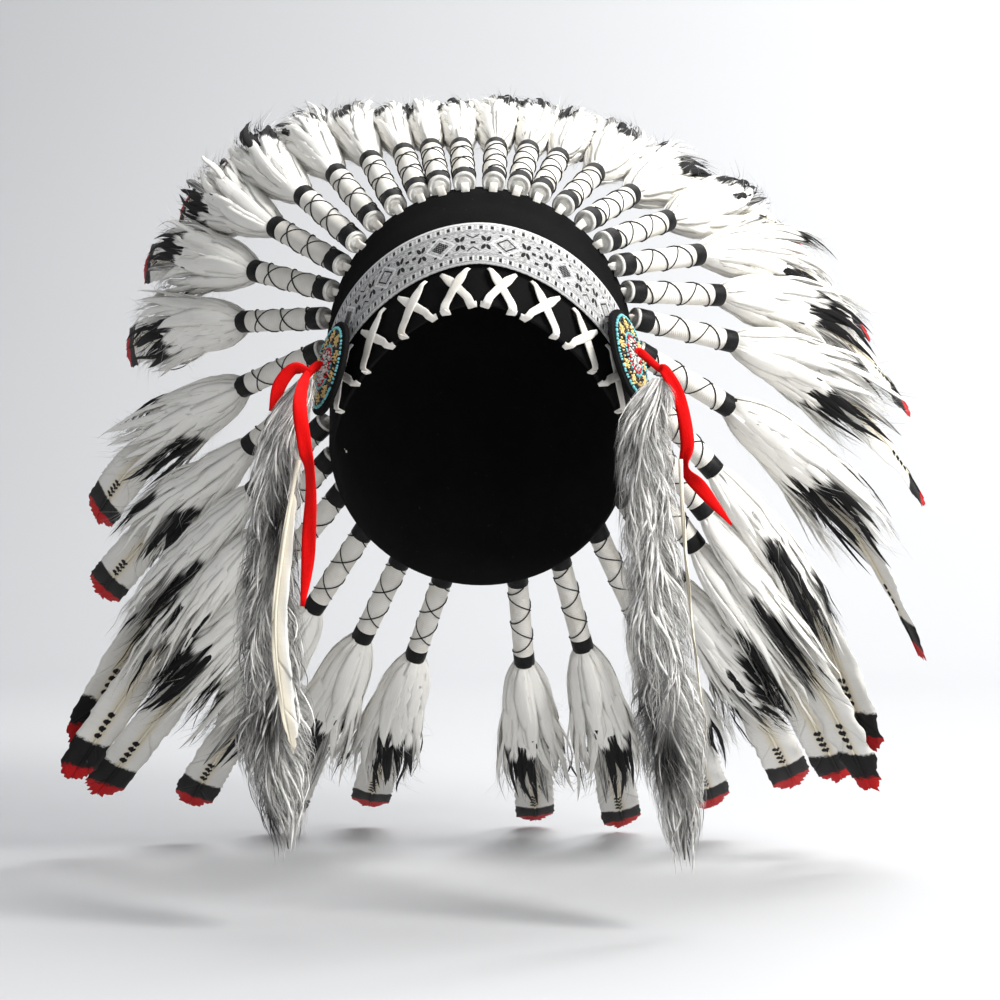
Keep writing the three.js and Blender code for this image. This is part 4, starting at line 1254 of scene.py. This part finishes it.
# tipShare is where the blade ends, a share of its length, and lesser narrows its first side.
def bladeShape(seed, length, halfWidth, outline, tipShare=0.985, lesser=1.0):
    rng = np.random.default_rng(seed)
    points, faces, count = [], [], 0
    for sign in (-1, 1):
        width = halfWidth * (lesser if sign < 0 else 1)
        somePoints, someFaces = bladeSide(rng, length, width, outline, sign, tipShare * length)
        points.append(somePoints)
        faces.append(someFaces + count)
        count += len(somePoints)
    return np.concatenate(points), np.concatenate(faces)


# Lays a blade and its shaft by a function that bends points, and joins them to one piece. The shift moves
# the pattern along.
def bladePiece(name, shape, bend, length, shaftRadii, shift):
    points, faces = shape
    uv = np.stack([points[:, 0] - length + shift, points[:, 1]], axis=1)
    vane = meshPiece(name, bend(points), [faces], materials["blade"], uv=uv)
    walled(vane, bladeLook["wall"])
    steps, sides = bladeLook["shaftSteps"], bladeLook["shaftSides"]
    along = np.linspace(0, 0.975 * length, steps)
    line = bend(np.stack([along, np.zeros(steps), np.full(steps, 0.0003)], axis=1))
    shaftPoints, shaftFaces = tubeShape(line, np.interp(along / length, [0, 1], shaftRadii), sides)
    shaftAlong = np.concatenate([np.repeat(along, sides), along[:1], along[-1:]]) - length + shift
    uv = np.stack([shaftAlong, np.full(len(shaftAlong), shaftLay)], axis=1)
    shaft = meshPiece(name + "_shaft", shaftPoints, shaftFaces, materials["blade"], uv=uv)
    return join([vane, shaft])


# On the wearer's left the outer halves of these feathers turn edge on to the viewer.
edgeOn = {"side": "left", "from": 4, "to": 9, "short": 10, "step": 88}
bladeLaid = {"crowd": 2.1, "stagger": 0.0016, "shaftRadii": (0.0016, 0.0005), "shift": (-0.003, 0.004),
             "seed": 9}


def addBlade(line, kind, flip, shift):
    shape = (kind[0] * [1, flip, 1], kind[1] if flip > 0 else kind[1][:, ::-1])
    most, step = 0, edgeOn["step"]
    if line["side"] == edgeOn["side"] and edgeOn["from"] <= line["index"] <= edgeOn["to"]:
        view = unit(line["points"][step] - cameraPlace["point"])
        most = math.atan(np.dot(line["lift"][step], view) / np.dot(line["across"][step], view))
        most -= math.copysign(math.radians(edgeOn["short"]), most)
    stagger = bladeLaid["stagger"] if line["index"] % 2 else -bladeLaid["stagger"]

    def bend(points):
        share = points[:, 0] / blade["length"]
        twist = most * smoothStep(0.3, 0.8, share)
        c, s = np.cos(twist), np.sin(twist)
        lift = points[:, 2] + stagger * smoothStep(0.3, 0.6, share)
        turned = np.stack([points[:, 0], points[:, 1] * c - lift * s, points[:, 1] * s + lift * c], axis=1)
        return onLine(line, turned, blade["halfWidth"], bladeLaid["crowd"])

    piece = bladePiece("blade_" + line["name"], shape, bend, blade["length"], bladeLaid["shaftRadii"], shift)
    finished(piece, "feather_" + line["name"])


bladeKinds = [bladeShape(bladeLook["seed"] + k, blade["length"], blade["halfWidth"], bladeOutline)
              for k in range(bladeLook["kinds"])]
rng = np.random.default_rng(bladeLaid["seed"])
for i, line in enumerate(lines):
    kind = bladeKinds[(3 * i + i // 5) % len(bladeKinds)]
    addBlade(line, kind, 1 if i % 3 else -1, rng.uniform(*bladeLaid["shift"]))
print("long feathers made")


# Rosettes

rosette = {"sides": 72, "radius": 0.028, "face": 0.0254, "backWall": 0.003, "lean": 14, "yaw": 20,
           "rise": 0.00636, "steps": [(0.0004, 0.0005), (0.01, 0.0012), (0.008, 0.0005)]}
beads = {"pitch": 0.00182, "outer": 0.0238, "inner": 0.0018, "radius": 0.00091, "sides": 7,
         "seed": {"left": 3, "right": 4}}
domeAt = [(0, 0.0062), (0.015, 0.0053), (0.025, 0.0041)]
beadTones = {
    "turquoise": (0.17, 0.62, 0.66),
    "black": (0.008, 0.008, 0.009),
    "yellow": (0.86, 0.62, 0.22),
    "red": (0.6, 0.01, 0.02),
    "white": (0.78, 0.78, 0.75),
    "grey": (0.1, 0.1, 0.11),
}


def cornersOf(node):
    return np.array([vertex.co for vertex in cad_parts[node].data.vertices])


def rosettePlace(side):
    lean, yaw = math.radians(rosette["lean"]), math.radians(rosette["yaw"])
    level = np.array([signs[side] * math.cos(yaw), -math.sin(yaw), 0]) * math.cos(lean)
    facing = level + [0, 0, math.sin(lean)]
    corners = cornersOf(f"rosette_{side}")
    return facing, corners[(corners @ facing).argmax()]


# Which colour a bead has: rings from the outside in, with stepped yellow diamonds in the black rings.
def beadColour(ring, turn):
    if ring in (0, 6):
        return "turquoise"
    if ring < 6:
        tooth = abs(((turn * 10) % 1) - 0.5) * 2
        return "yellow" if tooth + abs(ring - 3) / 3.2 < 0.82 else "black"
    if ring == 7:
        return "red"
    if ring == 8:
        return "red" if (turn * 10) % 1 < 0.42 else "white"
    if ring in (9, 10):
        return "black" if (turn * 10 + 0.25 * ring) % 1 < 0.2 else "white"
    return "grey" if (turn * 5 + 0.37 * ring) % 1 < 0.25 else "white"


def beadShape():
    rows = [(0.42, -0.74), (0.96, -0.32), (0.96, 0.32), (0.42, 0.74)]
    points = [(r * math.cos(a), r * math.sin(a), z) for r, z in rows for a in ringAngles(beads["sides"])]
    quads = gridFaces(len(rows), beads["sides"], True)
    return np.array(points), quads, endFans(beads["sides"], (len(rows) - 1) * beads["sides"])


def makeRosette(side):
    facing, face = rosettePlace(side)
    across = unit(np.cross([0, 0, 1], facing))
    lift = np.cross(facing, across)
    centre = face - facing * rosette["rise"]
    felt = standingCylinder(rosette["sides"], rosette["radius"], rosette["backWall"])
    editFaces(felt, lambda part: part.normal.z > 0.9)
    bpy.ops.mesh.inset(thickness=rosette["radius"] - rosette["face"])
    for narrower, higher in rosette["steps"]:
        bpy.ops.mesh.inset(thickness=narrower)
        bpy.ops.transform.translate(value=(0, 0, higher))
    bpy.ops.object.mode_set(mode="OBJECT")
    bevelled(felt, 0.0007, 3)
    bpy.ops.object.shade_smooth_by_angle(angle=math.radians(40))
    felt.data.materials.append(materials["felt"])
    felt.name = felt.data.name = f"rosette_felt_{side}"
    felt.data.transform(placed(across, lift, facing, centre))
    finished(felt, f"rosette_{side}")

    shape, quads, ends = beadShape()
    rng = np.random.default_rng(beads["seed"][side])
    points, tones = [], []
    ring, radius = 0, beads["outer"]
    while radius > beads["inner"]:
        count = int(2 * np.pi * radius / (2 * beads["radius"] * 0.98))
        for k in range(count):
            turn = k / count
            angle = 2 * np.pi * turn + rng.normal(0, 0.0006) / radius
            out = across * math.cos(angle) + lift * math.sin(angle)
            along = lift * math.cos(angle) - across * math.sin(angle)
            height = np.interp(radius, *zip(*domeAt)) + rng.normal(0, 0.0001)
            place = centre + out * (radius + rng.normal(0, 0.00008)) + facing * (height - 0.0005)
            size = beads["radius"] * rng.uniform(0.92, 1.04) * (1.12 if ring == 0 else 1)
            points.append(place + size * shape @ [out, facing, along])
            tone = np.array(beadTones[beadColour(ring, turn)]) * rng.uniform(0.82, 1.1)
            tones.append(np.tile(np.minimum(tone, 0.95), (len(shape), 1)))
        ring += 1
        radius -= beads["pitch"]
    faces = repeated(len(points), len(shape), 0, quads, ends)
    piece = meshPiece(f"rosette_beads_{side}", np.concatenate(points), faces, materials["bead"],
                      tones=np.concatenate(tones))
    finished(piece, f"rosette_{side}")
    return facing, face


rosettes = {side: makeRosette(side) for side in signs}
print("rosettes made")


# Fur drops

fur = {"length": 0.274, "halfWidth": 0.02, "deep": 0.66, "patches": 32, "seed": {"left": 21, "right": 22}}
furTuft = {"count": 620, "long": (0.06, 0.13), "stand": (0.22, 0.62), "swing": 0.25, "flat": 0.35,
           "half": (0.0004, 0.0012), "steps": 6, "sides": 5}
furHair = {"count": 6400, "long": (0.045, 0.1), "stand": (0.3, 0.74), "swing": 0.4, "radius": 0.00023,
           "lean": 0.3}
furTones = {"silver": (0.8, 0.79, 0.765), "white": (0.9, 0.89, 0.87), "dark": (0.018, 0.016, 0.016)}


def besideFace(side, out, front, below, length):
    face = rosettes[side][1]
    return face + np.array([signs[side] * out * length, -front * length, -below * length])


def furAt(side, share):
    row = {c: fromTable(furTables[side], "down", share, c) for c in ("out", "front", "wide")}
    point = besideFace(side, row["out"], row["front"], share, fur["length"])
    return point, row["wide"] * fur["halfWidth"]


def blendTone(share, a, b):
    return a * (1 - share)[..., None] + b * share[..., None]


def makeFur(side):
    rng = np.random.default_rng(fur["seed"][side])
    top, bottom = furTables[side][0]["down"], furTables[side][-1]["down"]
    shares = np.linspace(top, bottom, 60)
    middles = np.array([furAt(side, share)[0] for share in shares])
    halves = np.array([furAt(side, share)[1] for share in shares])

    def lay(share, angle, reach):
        middle = np.stack([np.interp(share, shares, middles[:, c]) for c in range(3)], axis=-1)
        half = np.interp(share, shares, halves)
        middle[..., 0] += half * reach * np.cos(angle)
        middle[..., 1] += half * reach * np.sin(angle) * fur["deep"]
        middle[..., 2] -= np.maximum(share - bottom, 0) * fur["length"]
        return middle

    # Patches of dark and pale fur wander down the drop.
    patches = []
    for _ in range(fur["patches"]):
        height = rng.uniform(top, bottom)
        name = "dark" if rng.random() < 0.32 + 0.35 * height else "white"
        at, spread, tall = rng.uniform(0, 2 * np.pi), rng.uniform(0.4, 0.9), rng.uniform(0.04, 0.11)
        patches.append((at, height, spread, tall, name))

    def toneOf(share, angle):
        tone = np.tile(np.array(furTones["silver"]), (*share.shape, 1))
        for at, height, spread, tall, name in patches:
            near = np.exp(-((turnBetween(angle, at) / spread) ** 2) - ((share - height) / tall) ** 2)
            tone = blendTone(near, tone, np.array(furTones[name]))
        return tone

    rings, sides = 26, 18
    coreShares, angles = np.repeat(np.linspace(top, bottom, rings), sides), np.tile(ringAngles(sides), rings)
    core = lay(coreShares, angles, 0.6 * (1 - 0.9 * smoothStep(bottom - 0.2, bottom, coreShares)))
    # Painted shade: the core under the locks and hairs has the fur's own tones, much darker, for the shade
    # deep inside the fur.
    shadedCoreTones = toneOf(coreShares, angles) * 0.4
    coreLay = np.stack([coreShares * fur["length"], angles * 0.01], axis=1)
    coreFaces = [gridFaces(rings, sides, True)[:, ::-1], endFans(sides, (rings - 1) * sides)[:, ::-1]]

    def outward(angle):
        fall = np.full(angle.shape, -0.2)
        return unit(np.stack([np.cos(angle), np.sin(angle) / fur["deep"], fall], axis=-1))

    # Locks or hairs that start on the drop and bend down it: the share of the drop, the turn round it and
    # the point, at each step.
    def laidLines(look, steps):
        each = (look["count"], 1)
        start = top - 0.015 + (bottom - 0.06 - top) * rng.random(each)
        angle = rng.uniform(0, 2 * np.pi, each)
        share = start + rng.uniform(*look["long"], each) * steps**1.1
        drift = 0.5 * np.sin(start * 21 + 2 * angle) + rng.normal(0, look["swing"], each)
        bent = angle + drift * steps**1.3
        out = 0.5 + rng.uniform(*look["stand"], each) * np.sin(steps * 1.9) / np.sin(1.9)
        return share, bent, lay(np.maximum(share, top), bent, out)

    # Each lock or hair has painted shade at its root, where it is a little darker, and is often dark or
    # white at its tip.
    def laidTones(share, bent, steps):
        count = len(share)
        tone = toneOf(share, bent) * rng.uniform(0.7, 1.25, (count, 1, 1))
        # Painted shade: darker towards the root, where the hairs shade each other.
        tone = tone * (0.7 + 0.3 * smoothStep(0, 0.35, steps))[:, None]
        kind = rng.random(count)
        tip = np.where((kind < 0.34)[:, None], furTones["dark"], furTones["white"])
        tipShare = (kind < 0.7)[:, None] * smoothStep(0.35, 0.9, steps)[None] * 0.75
        return np.minimum(tone * (1 - tipShare[..., None]) + tip[:, None] * tipShare[..., None], 0.95)

    steps = np.linspace(0, 1, furTuft["steps"])
    share, bent, tuftLines = laidLines(furTuft, steps)
    taper = np.maximum((steps + 0.15) ** 0.4 * (1 - steps) ** 0.6 * 1.5, 0.02)
    widths = rng.uniform(*furTuft["half"], (furTuft["count"], 1)) * taper
    tufts, tuftFaces, tuftLay = tongueShape(tuftLines, widths, outward(bent), furTuft["flat"],
                                            furTuft["sides"], len(core), share * fur["length"])
    tuftTones = np.repeat(laidTones(share, bent, steps).reshape(-1, 3), furTuft["sides"], axis=0)

    count = furHair["count"]
    share, bent, hairLines = laidLines(furHair, hairSteps)
    radii = furHair["radius"] * rng.uniform(0.5, 1.4, count)
    ways = unit(outward(bent) + rng.normal(0, furHair["lean"], (count, 1, 3)))
    hairs, hairFaces = hairShape(hairLines, radii, ways, len(core) + len(tufts))
    hairTones = perHairPoint(laidTones(share, bent, hairSteps))
    hairLay = np.repeat(rng.random((count, 2)), hairCorners, axis=0)
    piece = meshPiece(f"fur_{side}", np.concatenate([core, tufts, hairs]),
                      [*coreFaces, *tuftFaces, *hairFaces], materials["fur"],
                      np.concatenate([shadedCoreTones, tuftTones, hairTones]),
                      np.concatenate([coreLay, tuftLay, hairLay]))
    finished(piece, f"fur_drop_{side}")


for side in signs:
    makeFur(side)
print("fur drops made")


# Quills: plain pale feathers that hang along the fur

quill = {"length": 0.168, "halfWidth": 0.0075, "tipShare": 0.97, "lesser": 0.3,
         "shaftRadii": (0.0014, 0.0004), "seed": {"left": 90, "right": 91}}
quillOutline = [
    {"along": 0.1, "wide": 0.4},
    {"along": 0.3, "wide": 0.8},
    {"along": 0.65, "wide": 1},
    {"along": 0.95, "wide": 0.75},
    {"along": 1.05, "wide": 0.2},
]
quillSway = {
    "left": [(0, 0), (0.3, 0.03), (0.65, 0.035), (0.95, 0.01), (1, 0)],
    "right": [(0, 0.03), (0.3, 0.0), (0.55, -0.02), (0.8, -0.008), (1, 0.02)],
}
quillPlaces = {
    "left": {"down": 0.225, "side": 0, "facing": (1.0, 0, 0)},
    "right": {"down": 0.2, "side": 0.05, "facing": (0, -1.0, 0)},
}


spotless = -0.2  # shifts the pattern of a long feather so far that no spot, dark or red shows


# A quill hangs along its drop. How far it stands off the fur is read from its own solid.
def makeQuill(side):
    place = quillPlaces[side]
    facing = np.array(place["facing"])
    across = unit(np.cross(facing, down))
    corners = cornersOf(f"quill_{side}")
    top = furAt(side, place["down"])[0]
    beside = [furAt(side, place["down"] + (top[2] - corner[2]) / fur["length"])[0] for corner in corners]
    standOff = np.median((corners - beside) @ facing)
    rows = []
    for share, sway in smoothLine(quillSway[side], 5):
        middle = furAt(side, place["down"] + share * quill["length"] / fur["length"])[0]
        rows.append(middle + facing * standOff + across * (place["side"] + sway) * quill["length"])
    line = np.array(rows)
    reach = reachOf(line)
    length = reach[-1]
    way = unit(np.gradient(line, axis=0))
    wide = squareTo(way, across)

    def bend(points):
        along = np.clip(points[:, 0], 0, length)
        middle, beside, lift = [np.stack([np.interp(along, reach, values[:, c]) for c in range(3)], axis=1)
                                for values in (line, wide, np.cross(wide, way))]
        return middle + beside * points[:, 1:2] + lift * points[:, 2:3]

    shape = bladeShape(quill["seed"][side], length, quill["halfWidth"], quillOutline, quill["tipShare"],
                       quill["lesser"])
    piece = bladePiece(f"quill_feather_{side}", shape, bend, length, quill["shaftRadii"], spotless)
    finished(piece, f"quill_{side}")


for side in signs:
    makeQuill(side)
print("quills made")


# Ties

tie = {"length": 0.175, "halfWidth": 0.004, "wall": 0.0007, "columns": 5, "cup": 0.0007, "cupTurns": 130}
# Rows down each tail: how far outward, forward and below the rosette's face as shares of the length, the
# share of the width and the twist.
tieTails = {
    ("left", "long"): [
        (0.071, 0.057, 0.05, 0.5, 0),
        (0.09, 0.075, 0.06, 0.8, 0),
        (0.138, 0.075, 0.15, 0.9, 0),
        (0.162, 0.09, 0.29, 1, 15),
        (0.155, 0.1, 0.38, 1, 60),
        (0.21, 0.105, 0.45, 1, 10),
        (0.305, 0.11, 0.565, 0.15, 0),
    ],
    ("right", "long"): [
        (0.045, 0.057, 0.03, 0.6, 0),
        (0.05, 0.16, 0.07, 0.8, 0),
        (0.05, 0.27, 0.15, 1, 0),
        (0.03, 0.29, 0.28, 1, 10),
        (0.015, 0.29, 0.36, 0.9, 40),
        (0.02, 0.29, 0.6, 1, 10),
        (0.04, 0.28, 0.78, 0.3, 0),
    ],
    ("right", "short"): [
        (0.035, 0.044, 0.022, 0.4, 0),
        (0.09, 0.02, 0.006, 0.8, 0),
        (0.14, 0.01, 0.062, 1, 0),
        (0.16, 0.01, 0.15, 0.7, 0),
    ],
}


def makeTie(side, tail):
    facing, face = rosettes[side]
    rows = [[*besideFace(side, out, front, below, tie["length"]), wide, twist]
            for out, front, below, wide, twist in tieTails[side, tail]]
    if tail == "long":
        rows = [[*(face + facing * height), 0.6, 0] for height in (0.0004, 0.0029)] + rows
    rows = smoothLine(rows, 7)
    line, share, twist = rows[:, :3], rows[:, 3:4], np.radians(rows[:, 4:5])
    ahead = unit(np.gradient(line, axis=0))
    flat = unit(np.cross(ahead, back))
    across = flat * np.cos(twist) + np.cross(ahead, flat) * np.sin(twist)
    lift = np.cross(across, ahead)
    reach = reachOf(line)[:, None]
    x = np.linspace(-1, 1, tie["columns"])
    beside = tie["halfWidth"] * share * x
    cup = tie["cup"] * np.sin(reach * tie["cupTurns"]) * x * x
    points = line[:, None] + across[:, None] * beside[:, :, None] + lift[:, None] * cup[:, :, None]
    uv = np.stack(np.broadcast_arrays(reach, beside), axis=-1)
    piece = meshPiece(f"tie_{side}_{tail}", points.reshape(-1, 3), [gridFaces(len(line), tie["columns"])],
                      materials["ribbon"], uv=uv.reshape(-1, 2))
    walled(piece, tie["wall"])
    finished(piece, f"tie_ribbon_{side}")


for side, tail in tieTails:
    makeTie(side, tail)
print("ties made")


# Floor, light and camera

studio = {"floor": -0.2735, "bendFrom": 1.6, "bendRadius": 1.2, "halfWidth": 7, "height": 6,
          "floorColour": (0.5, 0.505, 0.515, 1), "cloudColour": (0.53, 0.535, 0.545, 1),
          "worldColour": (0.94, 0.96, 1.0, 1), "worldStrength": 0.36}
lights = [
    {"name": "key", "place": (1.5, -1.1, 1.3), "target": (0, 0, 0), "size": 1.0, "power": 82,
     "colour": (1, 0.99, 0.97)},
    {"name": "fill", "place": (-1.6, -1.4, 0.5), "target": (0, 0, 0), "size": 1.6, "power": 2.5,
     "colour": (0.94, 0.97, 1)},
    {"name": "top", "place": (0.3, 0.6, 2.0), "target": (0.1, 0.3, -0.1), "size": 1.6, "power": 30,
     "colour": (1, 1, 1)},
    {"name": "backdrop", "place": (1.6, 1.3, 2.2), "target": (0.8, 2.9, 1.2), "size": 1.2, "power": 70,
     "colour": (1, 1, 1)},
]


# A pale floor that curves up into a backdrop.
def makeFloor():
    low, start, radius = studio["floor"], studio["bendFrom"], studio["bendRadius"]
    profile = [(-6, low), (start, low)]
    for turn in np.radians(np.arange(5, 91, 5)):
        profile.append((start + radius * math.sin(turn), low + radius * (1 - math.cos(turn))))
    profile.append((start + radius, studio["height"]))
    points = [(x, y, z) for y, z in profile for x in (-studio["halfWidth"], studio["halfWidth"])]
    n = Nodes("pale_floor")
    cloud = n.noise(n.objectPlace(), 1.2, 2, 0.5)
    material = n.finish(n.mix(cloud, studio["floorColour"], studio["cloudColour"]), 0.8)
    floor = meshPiece("floor", points, [gridFaces(len(profile), 2)[:, ::-1]], material)


def addLight(look):
    data = bpy.data.lights.new(look["name"], "AREA")
    data.shape = "DISK"
    data.size, data.energy, data.color = look["size"], look["power"], look["colour"]
    light = bpy.data.objects.new(look["name"], data)
    bpy.context.scene.collection.objects.link(light)
    light.location = look["place"]
    light.rotation_mode = "QUATERNION"
    light.rotation_quaternion = (Vector(look["target"]) - light.location).to_track_quat("-Z", "Y")


makeFloor()
for look in lights:
    addLight(look)
world = bpy.data.worlds.new("studio")
bpy.context.scene.world = world
world.use_nodes = True
background = world.node_tree.nodes["Background"]
background.inputs["Color"].default_value = studio["worldColour"]
background.inputs["Strength"].default_value = studio["worldStrength"]

cameraData = bpy.data.cameras.new("camera")
cameraData.lens = cameraPlace["lens"]
cameraData.sensor_width = cameraPlace["sensor"]
camera = bpy.data.objects.new("camera", cameraData)
camera.location = cameraPlace["point"]
camera.rotation_euler = (math.radians(90), 0, 0)
bpy.context.scene.collection.objects.link(camera)
bpy.context.scene.camera = camera
bpy.context.scene.view_settings.view_transform = "Standard"
print("floor, light and camera made")
